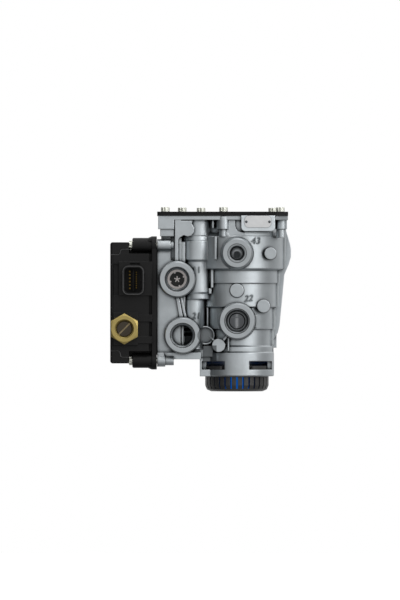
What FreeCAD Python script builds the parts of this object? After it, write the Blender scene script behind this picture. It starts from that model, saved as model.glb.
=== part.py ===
import FreeCAD, Part
import os
import re
import Sketcher

# Trailer control valve with its control unit, in millimetres.
# X runs to the right, Z runs up, the ports face -Y and the back mounting face is Y = 0.
# X = 0 is the relay valve axis and Z = 0 is the middle of the mounting hole pattern.

SIZES = [
    ("clearance", 0.05, "radial running clearance"),
    ("relay_depth", -56.0, "Y of the relay valve axis"),
    ("port_face", -118.0, "Y of the three large port faces"),
    ("small_port_face", -116.0, "Y of the small port face"),
    ("casting_front", -104.0, "Y of the front of the top flange"),
    ("casting_back", -8.0, "Y of the back of the casting behind its mounting bosses"),
    ("flange_top", 84.5, "Z of the machined top face"),
    ("flange_thickness", 4.2, "thickness of the top flange"),
    ("cover_thickness", 3.4, "thickness of the top cover plate"),
    ("seal_thickness", 0.6, "thickness of the cover seal and of the control unit gasket"),
    ("barrel_radius", 46.8, "radius of the barrel around the relay piston"),
    ("band_radius", 41.1, "radius of the plain band under the barrel"),
    ("waist_radius", 39.7, "radius of the waist"),
    ("neck_radius", 36.3, "radius of the neck behind the lower right port"),
    ("foot_radius", 34.4, "radius above the collar"),
    ("collar_radius", 37.3, "radius of the bottom collar"),
    ("collar_top", -51.5, "Z of the top of the collar"),
    ("collar_bottom", -76.6, "Z of the bottom of the collar"),
    ("piston_bore", 35.0, "radius of the relay piston bore"),
    ("piston_floor", 24.0, "Z of the floor of the piston bore"),
    ("piston_height", 10.0, "height of the relay piston rim"),
    ("piston_stroke", 3.0, "stroke of the relay piston"),
    ("stem_radius", 13.0, "radius of the relay piston stem"),
    ("port_chamfer", 1.6, "width of the chamfer in front of the large port threads"),
    ("delivery_radius", 26.0, "radius of the delivery chamber"),
    ("delivery_top", 10.0, "Z of the top of the delivery chamber"),
    ("seat_face", -42.0, "Z of the inlet seat"),
    ("seat_wall", 4.0, "thickness of the wall that carries the inlet seat"),
    ("seat_hole", 11.0, "radius of the hole in the inlet seat"),
    ("supply_radius", 28.0, "radius of the supply chamber"),
    ("guide_shoulder", -53.0, "Z of the shoulder that the valve guide rests on"),
    ("guide_bore", 31.0, "radius of the bore in the collar"),
    ("guide_height", 6.0, "height of the valve guide rim"),
    ("plunger_radius", 8.0, "outside radius of the inlet valve tube"),
    ("plunger_bore", 5.8, "inside radius of the inlet valve tube"),
    ("plunger_disc", 14.0, "radius of the inlet valve disc"),
    ("silencer_radius", 31.9, "radius of the silencer cap"),
    ("silencer_bottom", -91.7, "Z of the bottom of the silencer cap"),
    ("column_across", -41.0, "X of the throttle valve axis"),
    ("column_depth", -78.0, "Y of the throttle valve axis"),
    ("throttle_bore", 8.5, "radius of the throttle piston bore"),
    ("throttle_stroke", 3.0, "stroke of the throttle piston"),
    ("throttle_rest", 44.0, "Z of the underside of the throttle piston at rest"),
    ("supply_across", -60.0, "X of the supply port"),
    ("supply_height", 20.8, "Z of the supply port"),
    ("left_across", -54.6, "X of the lower left port"),
    ("left_height", -35.4, "Z of the lower left port"),
    ("right_height", -21.1, "Z of the lower right port"),
    ("small_height", 46.8, "Z of the small port"),
    ("port_boss", 18.0, "radius of a large port boss"),
    ("port_recess", 12.75, "radius of the recess in a large port"),
    ("port_thread", 10.2, "inside radius of the large port thread"),
    ("port_thread_length", 15.0, "length of the large port thread"),
    ("small_thread", 7.2, "inside radius of the small port thread"),
    ("plate_left", -80.0, "X of the machined face that carries the control unit"),
    ("plate_top", 60.2, "Z of the top of that face"),
    ("plate_bottom", -57.0, "Z of the bottom of that face"),
    ("mount_across", 30.0, "X of the mounting holes either side of the middle"),
    ("mount_height", 30.0, "Z of the mounting holes above and below the middle"),
    ("mount_hole", 4.25, "radius of a mounting hole, for an M10 thread"),
    ("mount_depth", 16.0, "depth of a mounting hole"),
    ("unit_left", -127.0, "X of the outer face of the control unit lid"),
    ("unit_top", 57.8, "Z of the top of the control unit"),
    ("unit_bottom", -63.5, "Z of the bottom of the control unit"),
    ("unit_front", -108.0, "Y of the front of the control unit"),
    ("unit_back", -16.0, "Y of the back of the control unit"),
    ("unit_wall", 3.0, "wall of the control unit housing"),
    ("unit_flange", 4.7, "thickness of the control unit flange"),
    ("sleeve_radius", 7.25, "radius of the screw sleeves of the control unit"),
    ("sleeve_top", 55.0, "Z of the upper control unit screws"),
    ("sleeve_bottom", -60.8, "Z of the lower control unit screws"),
    ("sleeve_front", -98.0, "Y of the front control unit screws"),
    ("sleeve_back", -26.0, "Y of the back control unit screws"),
    ("socket_left", -112.6, "X of the left side of the connector opening"),
    ("socket_right", -95.4, "X of the right side of the connector opening"),
    ("socket_low", 7.1, "Z of the lower side of the connector opening"),
    ("socket_high", 32.2, "Z of the upper side of the connector opening"),
    ("socket_mouth", -118.0, "Y of the connector mouth"),
    ("socket_floor", -97.0, "Y of the connector floor"),
    ("fitting_across", -112.8, "X of the brass fitting"),
    ("fitting_height", -28.9, "Z of the brass fitting"),
    ("fitting_flats", 27.0, "width across the flats of the brass fitting"),
    ("fitting_bore", 9.55, "radius of the mouth of the brass fitting"),
    ("fitting_pad", -112.0, "Y of the pad under the brass fitting"),
    ("coil_radius", 10.5, "radius of a solenoid coil"),
    ("coil_depth", -58.0, "Y of the solenoid axes"),
    ("armature_radius", 4.0, "radius of a solenoid armature"),
    ("armature_stroke", 0.8, "stroke of a solenoid armature"),
]

doc = FreeCAD.newDocument("TrailerControlValve")
sheet = doc.addObject("Spreadsheet::Sheet", "Sizes")
for row, (alias, size, note) in enumerate(SIZES, 1):
    sheet.set(f"A{row}", note)
    sheet.set(f"B{row}", str(size))
    sheet.setAlias(f"B{row}", alias)
doc.recompute()

ALIAS = re.compile(r"\b(" + "|".join(size[0] for size in SIZES) + r")\b")
FACING = {
    "+Z": FreeCAD.Rotation(),
    "-Z": FreeCAD.Rotation(FreeCAD.Vector(1, 0, 0), 180),
    "+Y": FreeCAD.Rotation(FreeCAD.Vector(1, 0, 0), -90),
    "-Y": FreeCAD.Rotation(FreeCAD.Vector(1, 0, 0), 90),
    "+X": FreeCAD.Rotation(FreeCAD.Vector(0, 1, 0), 90),
    "-X": FreeCAD.Rotation(FreeCAD.Vector(0, 1, 0), -90),
}


def linked(text):
    return ALIAS.sub(r"Sizes.\1", str(text))


def number(text):
    return float(sheet.evalExpression(linked(text)))


def bind(item, path, text):
    item.setExpression(path, linked(text))


def place(item, at, facing="+Z"):
    item.Placement.Rotation = FACING[facing]
    for key, text in zip("xyz", at):
        bind(item, f"Placement.Base.{key}", text)


def rod(name, radius, length, at, facing="+Z"):
    item = doc.addObject("Part::Cylinder", name)
    bind(item, "Radius", radius)
    bind(item, "Height", length)
    place(item, at, facing)
    return item


def block(name, low, high):
    item = doc.addObject("Part::Box", name)
    for side, start, end in zip(("Length", "Width", "Height"), low, high):
        bind(item, side, f"({end}) - ({start})")
    place(item, low)
    return item


def hexagon(name, flats, height, at, facing="+Z", turn=0):
    item = doc.addObject("Part::Prism", name)
    item.Polygon = 6
    bind(item, "Circumradius", f"({flats}) / sqrt(3)")
    bind(item, "Height", height)
    place(item, at, facing)
    item.Placement.Rotation = FACING[facing].multiply(FreeCAD.Rotation(FreeCAD.Vector(0, 0, 1), turn))
    return item


def draw(sketch, points):
    count = len(points)
    corners = [FreeCAD.Vector(number(x), number(y), 0) for x, y in points]
    for i in range(count):
        sketch.addGeometry(Part.LineSegment(corners[i], corners[(i + 1) % count]), False)
    for i in range(count):
        sketch.addConstraint(Sketcher.Constraint("Coincident", i, 2, (i + 1) % count, 1))
    for i, point in enumerate(points):
        for kind, text in zip(("DistanceX", "DistanceY"), point):
            index = sketch.addConstraint(Sketcher.Constraint(kind, -1, 1, i, 1, number(text)))
            bind(sketch, f"Constraints[{index}]", text)


def sketched(name, points, plane):
    body = doc.addObject("PartDesign::Body", name)
    sketch = body.newObject("Sketcher::SketchObject", name + "_sketch")
    origin = [plate for plate in body.Origin.OriginFeatures if plate.Role == plane][0]
    sketch.AttachmentSupport = [(origin, "")]
    sketch.MapMode = "FlatFace"
    draw(sketch, points)
    return body, sketch


# A turned shape: its points are (radius, distance along its axis).
def turned(name, points, at, facing="+Z"):
    body, sketch = sketched(name, points, "XZ_Plane")
    turn = body.newObject("PartDesign::Revolution", name + "_turn")
    turn.Profile = sketch
    turn.ReferenceAxis = (sketch, ["V_Axis"])
    turn.Angle = 360
    place(body, at, facing)
    return body


# A flat shape: facing -Y its points are (X, Z), facing +Z they are (X, Y).
def flat(name, points, thickness, at, facing="-Y"):
    body, sketch = sketched(name, points, "XY_Plane")
    pad = body.newObject("PartDesign::Pad", name + "_pad")
    pad.Profile = sketch
    bind(pad, "Length", thickness)
    place(body, at, facing)
    return body


# A coil spring of square wire along its own axis.
def coiled(name, radius, wire, height, turns, at, facing="+Z"):
    half = f"({wire}) / 2"
    section = [
        (f"({radius}) - {half}", 0),
        (f"({radius}) + {half}", 0),
        (f"({radius}) + {half}", wire),
        (f"({radius}) - {half}", wire),
    ]
    body, sketch = sketched(name, section, "XZ_Plane")
    helix = body.newObject("PartDesign::AdditiveHelix", name + "_helix")
    helix.Profile = sketch
    helix.ReferenceAxis = (sketch, ["V_Axis"])
    helix.Mode = "height-turns-angle"
    helix.Turns = turns
    bind(helix, "Height", f"({height}) - ({wire})")
    place(body, at, facing)
    return body


def joined(name, items):
    item = doc.addObject("Part::MultiFuse", name)
    item.Shapes = items
    return item


def cut(name, base, tools):
    item = doc.addObject("Part::Cut", name)
    item.Base = base
    item.Tool = tools[0] if len(tools) == 1 else joined(name + "_tools", tools)
    return item


def grouped(name, items):
    item = doc.addObject("Part::Compound", name)
    item.Links = items
    return item


def upright_edges(item, test):
    found = []
    for index, edge in enumerate(item.Shape.Edges, 1):
        ends = [vertex.Point for vertex in edge.Vertexes]
        if len(ends) == 2 and (ends[0] - ends[1]).Length > 0.5 and test(ends[0], ends[1]):
            found.append(index)
    return found


def rounded(name, base, radius, test):
    doc.recompute()
    item = doc.addObject("Part::Fillet", name)
    item.Base = base
    size = number(radius)
    item.Edges = [(index, size, size) for index in upright_edges(base, test)]
    return item


def along(axis):
    others = [key for key in "xyz" if key != axis]
    return lambda a, b: all(abs(getattr(a, key) - getattr(b, key)) < 0.001 for key in others)


NODES = {}


def node(label, item):
    item.Label = label
    NODES[label] = item
    return item


# Valve housing, outside: the stepped barrel and collar around the relay valve.
barrel = turned(
    "barrel",
    [
        (0, "collar_bottom"),
        ("collar_radius - 1", "collar_bottom"),
        ("collar_radius", "collar_bottom + 1"),
        ("collar_radius", "collar_top - 1.5"),
        ("collar_radius - 1.5", "collar_top"),
        ("foot_radius + 1.6", "collar_top"),
        ("foot_radius + 1.6", "collar_top + 4.5"),
        ("foot_radius", "collar_top + 6"),
        ("foot_radius", -30),
        ("neck_radius", -29),
        ("neck_radius", -8),
        ("waist_radius", -6.7),
        ("waist_radius", 16.4),
        ("band_radius", 17),
        ("band_radius", 29.5),
        ("barrel_radius", 31.5),
        ("barrel_radius", 63.8),
        ("barrel_radius - 4.4", 67.3),
        ("barrel_radius - 6", 67.6),
        ("barrel_radius - 6", "flange_top - 1"),
        (0, "flange_top - 1"),
    ],
    (0, "relay_depth", 0),
)
column = turned(
    "column",
    [
        (0, 1),
        (15, 1),
        (15, 6),
        (16, 8),
        (16, 38.3),
        (18, 40.6),
        (18, 59.2),
        (17.3, 60),
        (17, 64),
        (17.4, 65),
        (17.4, "flange_top - 1"),
        (0, "flange_top - 1"),
    ],
    ("column_across", "column_depth", 0),
)
lower_column = rod("lower_column", 12.3, "50.4", ("column_across - 3.5", "column_depth", -49.4))
collar_corner = flat(
    "collar_corner",
    [
        ("-collar_radius", "collar_bottom"),
        ("-collar_radius + 24", "collar_bottom"),
        ("-collar_radius + 24", "collar_top"),
        ("-collar_radius", "collar_top"),
    ],
    22,
    (0, "relay_depth - 4", 0),
)
flange = flat(
    "flange",
    [
        (-79, "casting_front"),
        (-24, "casting_front"),
        (-2, "casting_front"),
        (40, "casting_front"),
        (51, -88),
        (51, -30),
        (44, -6),
        (-64, -6),
        (-79, -20),
    ],
    "flange_thickness",
    (0, 0, "flange_top - flange_thickness"),
    "+Z",
)
left_block = block(
    "left_block", ("plate_left", -94, "plate_bottom"), (-52, -14, "plate_top - 2")
)
bridge = block("bridge", (-57, "column_depth + 12", -50), (-18, -16, "flange_top - 1"))
upper_block = block("upper_block", (-76, -96, 56), (-57.6, -18, "flange_top - 1"))
strip = block("strip", (-62.3, "casting_front + 0.3", 38), (-59, -88, "flange_top - 1"))
strip_step = block("strip_step", (-60, -95.5, 38), (-55.8, -84, 62))
corner_boss = block("corner_boss", (-79, "casting_front", 71), (-63.1, -88, "flange_top - 1"))
corner_step = block("corner_step", (-77, "casting_front + 1.8", 63.8), (-63.1, -88, 72))
puzzle_pad = flat(
    "puzzle_pad",
    [
        (-44.5, 80.4),
        (-45.4, 76.5),
        (-42.9, 72),
        (-43.4, 67.6),
        (-46, 64.6),
        (-49.6, 63.6),
        (-53.4, 65),
        (-57.5, 62.5),
        (-59.4, 59.6),
        (-61, 59.6),
        (-61, 80.4),
    ],
    20,
    (0, "casting_front + 20.3", 0),
)
rear_lobe = flat(
    "rear_lobe",
    [
        (20, "flange_top - 1"),
        (48, "flange_top - 1"),
        (49.7, 69.6),
        (53.4, 57),
        (54.5, 51.4),
        (54.5, 43.8),
        (52.4, 36.4),
        (47.8, 25.6),
        (45.9, 4.6),
        (43, -25.4),
        (41.1, -33),
        (37.3, -38.8),
        (20, -44),
    ],
    36,
    (0, "casting_back", 0),
)
rear_plate = block("rear_plate", (-66, -34, -48), (40, "casting_back", "flange_top - 1"))
NAMEPLATE_BACK = "relay_depth - barrel_radius - 4.2"
nameplate_pad = flat(
    "nameplate_pad",
    [
        (4.1, "flange_top"),
        (4.1, "flange_top - 12.1"),
        (4.8, "flange_top - 13.9"),
        (6.2, "flange_top - 15.1"),
        (8, "flange_top - 15.6"),
        (34.1, "flange_top - 15.6"),
        (35.9, "flange_top - 15.1"),
        (37.3, "flange_top - 13.9"),
        (38, "flange_top - 12.1"),
        (38, "flange_top"),
    ],
    20,
    (0, f"{NAMEPLATE_BACK} + 20", 0),
)
pad_web = flat(
    "pad_web",
    [
        (-9, 80.4), (-2, 80.4), (-1.8, 74.5), (-1, 71.4), (0.8, 69.2), (3.4, 68), (8, 67.4), (8, 64),
        (-12, 64), (-10.6, 70),
    ],
    20,
    (0, "relay_depth - barrel_radius + 21", 0),
)
bottom_plate = block("bottom_plate", (-73, -98, -59.4), (-36.3, -20, -52.5))
bottom_web = block("bottom_web", (-50, -84, -57), (-24, -30, -46))
casting = [
    barrel, column, lower_column, collar_corner, flange, left_block, bridge, upper_block, strip, strip_step,
    corner_boss, corner_step, puzzle_pad, rear_lobe, rear_plate, nameplate_pad, pad_web, bottom_plate,
    bottom_web,
]

# Two slanted ribs between the two left ports.
casting.append(flat("slanted_rib_0", [(-61.8, 5), (-58.6, 5), (-53.6, -20), (-57.4, -20)], 18, (0, -79.5, 0)))
casting.append(flat("slanted_rib_1", [(-57.6, 5), (-55.6, 5), (-50, -20), (-52.4, -20)], 18, (0, -78.8, 0)))

# Fins along the parting plane: left of the barrel against the columns, and right of the barrel.
for i, (left, right, front, low, high) in enumerate([
    (-22.6, -20.3, -100, 40.6, 63.6), (-26.2, -23.9, -91.5, 12.4, 38.8), (-28.4, -25.8, -89.5, 6.4, 11.6),
    (-30.2, -28.9, -80.5, -27, 5.6), (-9.4, -7.9, -94.5, -51, -38),
]):
    casting.append(block(f"fin_{i}", (left, front, low), (right, "relay_depth - 20", high)))
casting.append(flat(
    "parting_fin",
    [
        (20, "collar_top - 2"), ("foot_radius + 2.4", "collar_top - 2"), ("foot_radius + 2.4", -30.6),
        ("neck_radius + 2.2", -28.8), ("neck_radius + 2.4", -8.4), ("waist_radius + 2.2", -6.4),
        ("waist_radius + 2.4", 16.2), ("band_radius + 2", 17.4), ("band_radius + 2.2", 28.6),
        ("barrel_radius + 2", 32.4), ("barrel_radius + 2.4", 64), (20, 66),
    ],
    8,
    (0, "relay_depth + 4", 0),
))
casting.append(flat("boss_rib", [(-11.6, 66.4), (-9.8, 67.8), (-5.8, 62.6), (-7.6, 61.2)], 22, (0, -80, 0)))

# Screw bosses that hang under the top flange.
COVER_SCREWS = [(-71.9, -97), (-13.6, -98), (43.4, -85), (-55, -46), (-36, -15), (36.2, -15)]
for i, (x, y, big, small, end) in enumerate(
    [(-13.8, -98, 6.8, 4.2, 63.4), (44.2, -85, 5.9, 4.9, 62.4)]
):
    casting.append(rod(f"screw_boss_{i}", big, "flange_top - 72", (x, y, 71)))
    casting.append(rod(f"screw_tip_{i}", small, "flange_top - 66", (x, y, end)))
casting.append(block("boss_web", (-20.6, -98, 71), (-7, -84, "flange_top - 1")))

# Round cast flats on the front of the barrel.
for i, (x, z, radius, y) in enumerate(
    [(33.5, 46.7, 6, -98), (-0.2, 9.6, 6.85, -97.5), (26.6, -6.1, 6.5, -92), (-18.5, -45.5, 6.6, -96)]
):
    casting.append(rod(f"cast_flat_{i}", radius, f"{y} * -1 - 60", (x, -60, z), "-Y"))
casting.append(flat("foot_rib_0", [(-28.4, -37.4), (-27.3, -36), (-20, -41.6), (-21, -43)], 24, (0, -70, 0)))
casting.append(flat("foot_rib_1", [(-16, -42), (-14.6, -43), (-9.2, -36.4), (-10.8, -35.4)], 24, (0, -70, 0)))
casting.append(rod("delivery_boss", 9.2, 29, (-31.8, -56, "left_height"), "-Y"))
casting.append(block("port_step", (14, -104, "right_height - 6.6"), (20, -80, "right_height + 6")))

# Bosses for the ports, the control unit screws and the mounting bolts.
PORTS = [
    ("supply_across", "supply_height", "port_face", 50),
    ("left_across", "left_height", "port_face", 50),
    (0, "right_height", "port_face", 40),
]
for i, (x, z, y, length) in enumerate(PORTS):
    shape = [(0, 0), ("port_boss - 1", 0), ("port_boss", 1), ("port_boss + 0.7", length), (0, length)]
    casting.append(turned(f"port_boss_{i}", shape, (x, y, z), "+Y"))
small_boss = [(0, 0), (14, 0), (15.2, 1.4), (16.5, 14), (16.5, 30), (0, 30)]
casting.append(turned("small_port_boss", small_boss, (0, "small_port_face", "small_height"), "+Y"))
SLEEVES = [("sleeve_front", "sleeve_top"), ("sleeve_back", "sleeve_top")]
SLEEVES += [("sleeve_front", "sleeve_bottom"), ("sleeve_back", "sleeve_bottom")]
for i, (y, z) in enumerate(SLEEVES):
    length = "13.5" if z == "sleeve_top" else "8"
    casting.append(rod(f"unit_boss_{i}", 6, length, ("plate_left", y, z), "+X"))
    casting.append(rod(f"unit_boss_tip_{i}", 4.6, "16.5", ("plate_left", y, z), "+X"))
    casting.append(block(
        f"unit_boss_web_{i}",
        ("plate_left", f"{y} - 4", f"{z} - 4" if z == "sleeve_top" else f"{z} - 1"),
        ("plate_left + 7", f"{y} + 4", f"{z} + 1" if z == "sleeve_top" else f"{z} + 8"),
    ))
MOUNTS = [(a, b) for a in ("mount_across", "-mount_across") for b in ("mount_height", "-mount_height")]
for i, (x, z) in enumerate(MOUNTS):
    shape = [(0, 0), (9, 0), (10, 1), (11, 14), (0, 14)]
    casting.append(turned(f"mount_boss_{i}", shape, (x, 0, z), "-Y"))

casting_body = joined("casting_body", casting)

# Valve housing, inside: bores of the relay valve, from the piston down to the collar.
relay_bore = turned(
    "relay_bore",
    [
        (0, "collar_bottom - 1"),
        ("guide_bore", "collar_bottom - 1"),
        ("guide_bore", "guide_shoulder"),
        ("supply_radius", "guide_shoulder"),
        ("supply_radius", "seat_face"),
        ("seat_hole", "seat_face"),
        ("seat_hole", "seat_face + seat_wall"),
        ("delivery_radius", "seat_face + seat_wall + 2"),
        ("delivery_radius", "delivery_top"),
        ("stem_radius + clearance", "delivery_top"),
        ("stem_radius + clearance", "piston_floor"),
        ("piston_bore", "piston_floor"),
        ("piston_bore", "flange_top + 1"),
        (0, "flange_top + 1"),
    ],
    (0, "relay_depth", 0),
)
ring_groove = turned(
    "ring_groove",
    [
        (20, "guide_shoulder - guide_height - 1.8"),
        ("guide_bore + 1.6", "guide_shoulder - guide_height - 1.8"),
        ("guide_bore + 1.6", "guide_shoulder - guide_height"),
        (20, "guide_shoulder - guide_height"),
    ],
    (0, "relay_depth", 0),
)
throttle_hole = turned(
    "throttle_hole",
    [
        (0, 12),
        (4, 12),
        (4, "throttle_rest - throttle_stroke - 4"),
        ("throttle_bore", "throttle_rest - throttle_stroke - 4"),
        ("throttle_bore", "flange_top + 1"),
        (0, "flange_top + 1"),
    ],
    ("column_across", "column_depth", 0),
)
hollows = [relay_bore, ring_groove, throttle_hole]
STRAINER_FLOOR = "port_thread_length + 20"
for i, (x, z, y, length) in enumerate(PORTS):
    depth = [64, 52, 40][i]
    inner = ["port_thread - 0.5", "port_thread - 0.5", "7.25"][i]
    step = [0.3, 0.3, 1.25][i]
    seat = [STRAINER_FLOOR, depth, depth][i]
    shape = [
        (0, -1),
        ("port_recess", -1),
        ("port_recess", 2.4),
        ("port_thread + port_chamfer", 2.4),
        ("port_thread", "2.4 + port_chamfer"),
        ("port_thread", "port_thread_length + 3"),
        (f"{inner} + {step}", "port_thread_length + 3"),
        (inner, "port_thread_length + 4.5"),
        (inner, seat),
    ]
    shape += [("port_thread - 3", seat), ("port_thread - 3", depth), (0, depth)] if i == 0 else [(0, depth)]
    hollows.append(turned(f"port_hole_{i}", shape, (x, y, z), "+Y"))
small_hole = [
    (0, -1), (9.7, -1), (9.7, 1.6), ("small_thread + 0.8", 1.6), ("small_thread", 2.4),
    ("small_thread", 13), (5.65, 14), (5.65, 18), (0, 18),
]
hollows.append(turned("small_hole", small_hole, (0, "small_port_face", "small_height"), "+Y"))

# Passages: supply down to the supply chamber, delivery across, and control air from the unit.
hollows += [
    rod("supply_drop", 6, 70, ("supply_across", -58, -49), "+Z"),
    rod("supply_cross", 4.6, 36, ("supply_across", -58, "guide_shoulder + 5.4"), "+X"),
    rod("delivery_cross", 5, 34, ("left_across", -69, -32), "+X"),
    rod("control_drill", 2.5, 50, ("plate_left - 1", -44, 52), "+X"),
]
for i, (x, z) in enumerate(MOUNTS):
    hollows.append(rod(f"mount_hole_{i}", "mount_hole", "mount_depth + 1", (x, 1, z), "-Y"))
for i, (x, y) in enumerate(COVER_SCREWS):
    hollows.append(rod(f"cover_hole_{i}", "3 + clearance", 18, (x, y, "flange_top - 17"), "+Z"))
for i, (y, z) in enumerate(SLEEVES):
    hollows.append(rod(f"unit_hole_{i}", "3 + clearance", 16, ("plate_left - 1", y, z), "+X"))
for i, x in enumerate((-35.4, 12.2)):
    hollows.append(block(f"collar_window_{i}", (x, -100, -69.9), (x + 23, "relay_depth - 6", -61.4)))

hollows += [
    block("boss_pocket", (-66.4, -100, 39.6), (-62.3, -84, 63.8)),
    block("pad_groove", (-56.4, "casting_front - 1", 79.3), (-43, "casting_front + 1.7", 80.3)),
    rod("delivery_pocket", 8.1, 12, (-31.8, -88, "left_height"), "+Y"),
    rod("small_way", 3.75, 19, (0, "small_port_face + 17", "small_height - 1.5"), "+Y"),
]

machined = cut("machined", casting_body, hollows)

# The web and the round wall inside the lower left port stand in the port bore.
port_wall = rod("port_wall", 5.4, 23, ("left_across - 7.6", "port_face + 29", "left_height - 11.5"))
port_web = block(
    "port_web",
    ("left_across - 0.9", "port_face + 22", "left_height - 11.5"),
    ("left_across + 0.9", "port_face + 53", "left_height + 11.5"),
)
valve_housing = node("valve_housing", joined("valve_housing_shape", [machined, port_web, port_wall]))

# Top cover plate with its seal, screws and nameplate.
COVER = [
    (-80, "casting_front - 1"), (-1, "casting_front - 1"), (41, "casting_front - 1"), (51.3, -90),
    (51.3, -29), (45, -5.5), (-65, -5.5), (-80, -19),
]


def cover_sheet(name, thickness, height, inset):
    plate = flat(name + "_plate", COVER, thickness, (0, 0, height), "+Z")
    trimmed = rounded(name + "_round", plate, 3, along("z"))
    holes = [rod(f"{name}_hole_{i}", 3.3, 10, (x, y, "flange_top - 2"), "+Z")
             for i, (x, y) in enumerate(COVER_SCREWS)]
    return cut(name, trimmed, holes + inset)


node("top_cover", cover_sheet("cover", "cover_thickness", "flange_top + seal_thickness", []))
seal_window = rod("seal_window", "piston_bore + 1", 10, (0, "relay_depth", "flange_top - 2"), "+Z")
seal_port = rod("seal_port", "throttle_bore - 2", 10, ("column_across", "column_depth", "flange_top - 2"), "+Z")
node("cover_seal", cover_sheet("seal", "seal_thickness", "flange_top", [seal_window, seal_port]))


# A screw whose head has six rounded lobes, from the tip of its shank up.
def lobed_screw(name, head, grip, height, at, facing):
    top = f"{grip} + {height}"
    shape = [
        (0, 0), (2.4, 0), (3, 0.8), (3, grip), (head, grip), (head, f"{top} - 0.5"),
        (f"{head} - 0.5", top), (0, top),
    ]
    screw = turned(name + "_turned", shape, at, facing)
    key, sign = {"+Z": ("z", "+"), "-X": ("x", "-")}[facing]
    grooves = []
    for i in range(6):
        spoke = FreeCAD.Rotation(FreeCAD.Vector(0, 0, 1), 60 * i + 15).multVec(FreeCAD.Vector(head + 0.2, 0, 0))
        offset = FACING[facing].multVec(spoke)
        start = [f"({place}) + {shift}" for place, shift in zip(at, offset)]
        axis = "xyz".index(key)
        start[axis] = f"({at[axis]}) {sign} ({grip} + 0.7)"
        grooves.append(rod(f"{name}_groove_{i}", 1.3, height + 1, start, facing))
    return cut(name, screw, grooves)


screws = []
for i, (x, y) in enumerate(COVER_SCREWS):
    start = "flange_top - 15"
    grip = "15 + seal_thickness + cover_thickness"
    screws.append(lobed_screw(f"cover_screw_{i}", 4.35, grip, 4.5, (x, y, start), "+Z"))
node("cover_screws", grouped("cover_screw_set", screws))

nameplate_body = block(
    "nameplate_body", (7.6, f"{NAMEPLATE_BACK} - 0.6", "flange_top - 11.8"),
    (34.1, NAMEPLATE_BACK, "flange_top - 0.2"),
)
nameplate_round = rounded("nameplate_round", nameplate_body, 4.2, along("y"))
RIVETS = [(9.3, "flange_top - 6.2"), (32.4, "flange_top - 6.2")]
rivet_holes = [rod(f"rivet_hole_{i}", 0.9, 3, (x, f"{NAMEPLATE_BACK} + 1", z), "-Y")
               for i, (x, z) in enumerate(RIVETS)]
node("nameplate", cut("nameplate_cut", nameplate_round, rivet_holes))
rivets = [
    turned(f"rivet_{i}", [(0, 0), (0.88, 0), (0.88, 0.6), (1.35, 0.6), (1.1, 1.1), (0, 1.3)],
           (x, NAMEPLATE_BACK, z), "-Y")
    for i, (x, z) in enumerate(RIVETS)
]
node("nameplate_rivets", grouped("rivet_set", rivets))

# Relay piston with its hollow stem, which rests on the inlet valve.
PISTON_LOW = "piston_floor + piston_stroke + 3"
relay_piston = turned(
    "relay_piston",
    [
        (5.5, "seat_face + clearance"),
        (7, "seat_face + clearance"),
        (8.8, "seat_face + 3"),
        (8.8, "right_height + 3.2"),
        (7.2, "right_height + 4.2"),
        (7.2, "delivery_top - 8"),
        ("stem_radius", "delivery_top - 6"),
        ("stem_radius", "piston_floor - 5"),
        ("stem_radius - 1.5", "piston_floor - 5"),
        ("stem_radius - 1.5", "piston_floor - 3"),
        ("stem_radius", "piston_floor - 3"),
        ("stem_radius", PISTON_LOW),
        ("piston_bore - 5", PISTON_LOW),
        ("piston_bore - clearance", f"{PISTON_LOW} + 1"),
        ("piston_bore - clearance", f"{PISTON_LOW} + 3"),
        ("piston_bore - 3", f"{PISTON_LOW} + 3"),
        ("piston_bore - 3", f"{PISTON_LOW} + 6"),
        ("piston_bore - clearance", f"{PISTON_LOW} + 6"),
        ("piston_bore - clearance", f"{PISTON_LOW} + piston_height"),
        ("piston_bore - 6", f"{PISTON_LOW} + piston_height"),
        ("piston_bore - 8", f"{PISTON_LOW} + 5"),
        (16, f"{PISTON_LOW} + 5"),
        (14, f"{PISTON_LOW} + piston_height"),
        (5.5, f"{PISTON_LOW} + piston_height"),
    ],
    (0, "relay_depth", 0),
)
node("relay_piston", relay_piston)


def ring(name, inner, outer, low, high, at):
    return turned(name, [(inner, low), (outer, low), (outer, high), (inner, high)], at)


RELAY_AXIS = (0, "relay_depth", 0)
node("piston_seal", ring(
    "piston_seal", "piston_bore - 3 + 0.02", "piston_bore - 0.02",
    f"{PISTON_LOW} + 3.1", f"{PISTON_LOW} + 5.9", RELAY_AXIS))
node("stem_seal", ring(
    "stem_seal", "stem_radius - 1.5 + 0.02", "stem_radius + 0.02",
    "piston_floor - 4.9", "piston_floor - 3.1", RELAY_AXIS))

# Inlet valve: a disc that the spring holds on its seat, on a tube that lets exhaust air down.
inlet_valve = turned(
    "inlet_valve",
    [
        ("plunger_bore", "seat_face"),
        ("plunger_disc", "seat_face"),
        ("plunger_disc", "seat_face - 3"),
        ("plunger_radius", "seat_face - 3"),
        ("plunger_radius", "guide_shoulder - guide_height - 2"),
        ("plunger_bore", "guide_shoulder - guide_height - 2"),
    ],
    RELAY_AXIS,
)
node("inlet_valve", inlet_valve)
node("inlet_spring", coiled(
    "inlet_spring", "plunger_radius + 2.4", 1.4, "seat_face - guide_shoulder - 3", 2,
    (0, "relay_depth", "guide_shoulder"),
))
node("valve_guide", turned(
    "valve_guide",
    [
        ("plunger_radius + clearance", "guide_shoulder - guide_height"),
        ("guide_bore - clearance", "guide_shoulder - guide_height"),
        ("guide_bore - clearance", "guide_shoulder - 4"),
        ("guide_bore - 2", "guide_shoulder - 4"),
        ("guide_bore - 2", "guide_shoulder - 1.5"),
        ("guide_bore - clearance", "guide_shoulder - 1.5"),
        ("guide_bore - clearance", "guide_shoulder"),
        ("plunger_radius + clearance", "guide_shoulder"),
    ],
    RELAY_AXIS,
))
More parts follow.
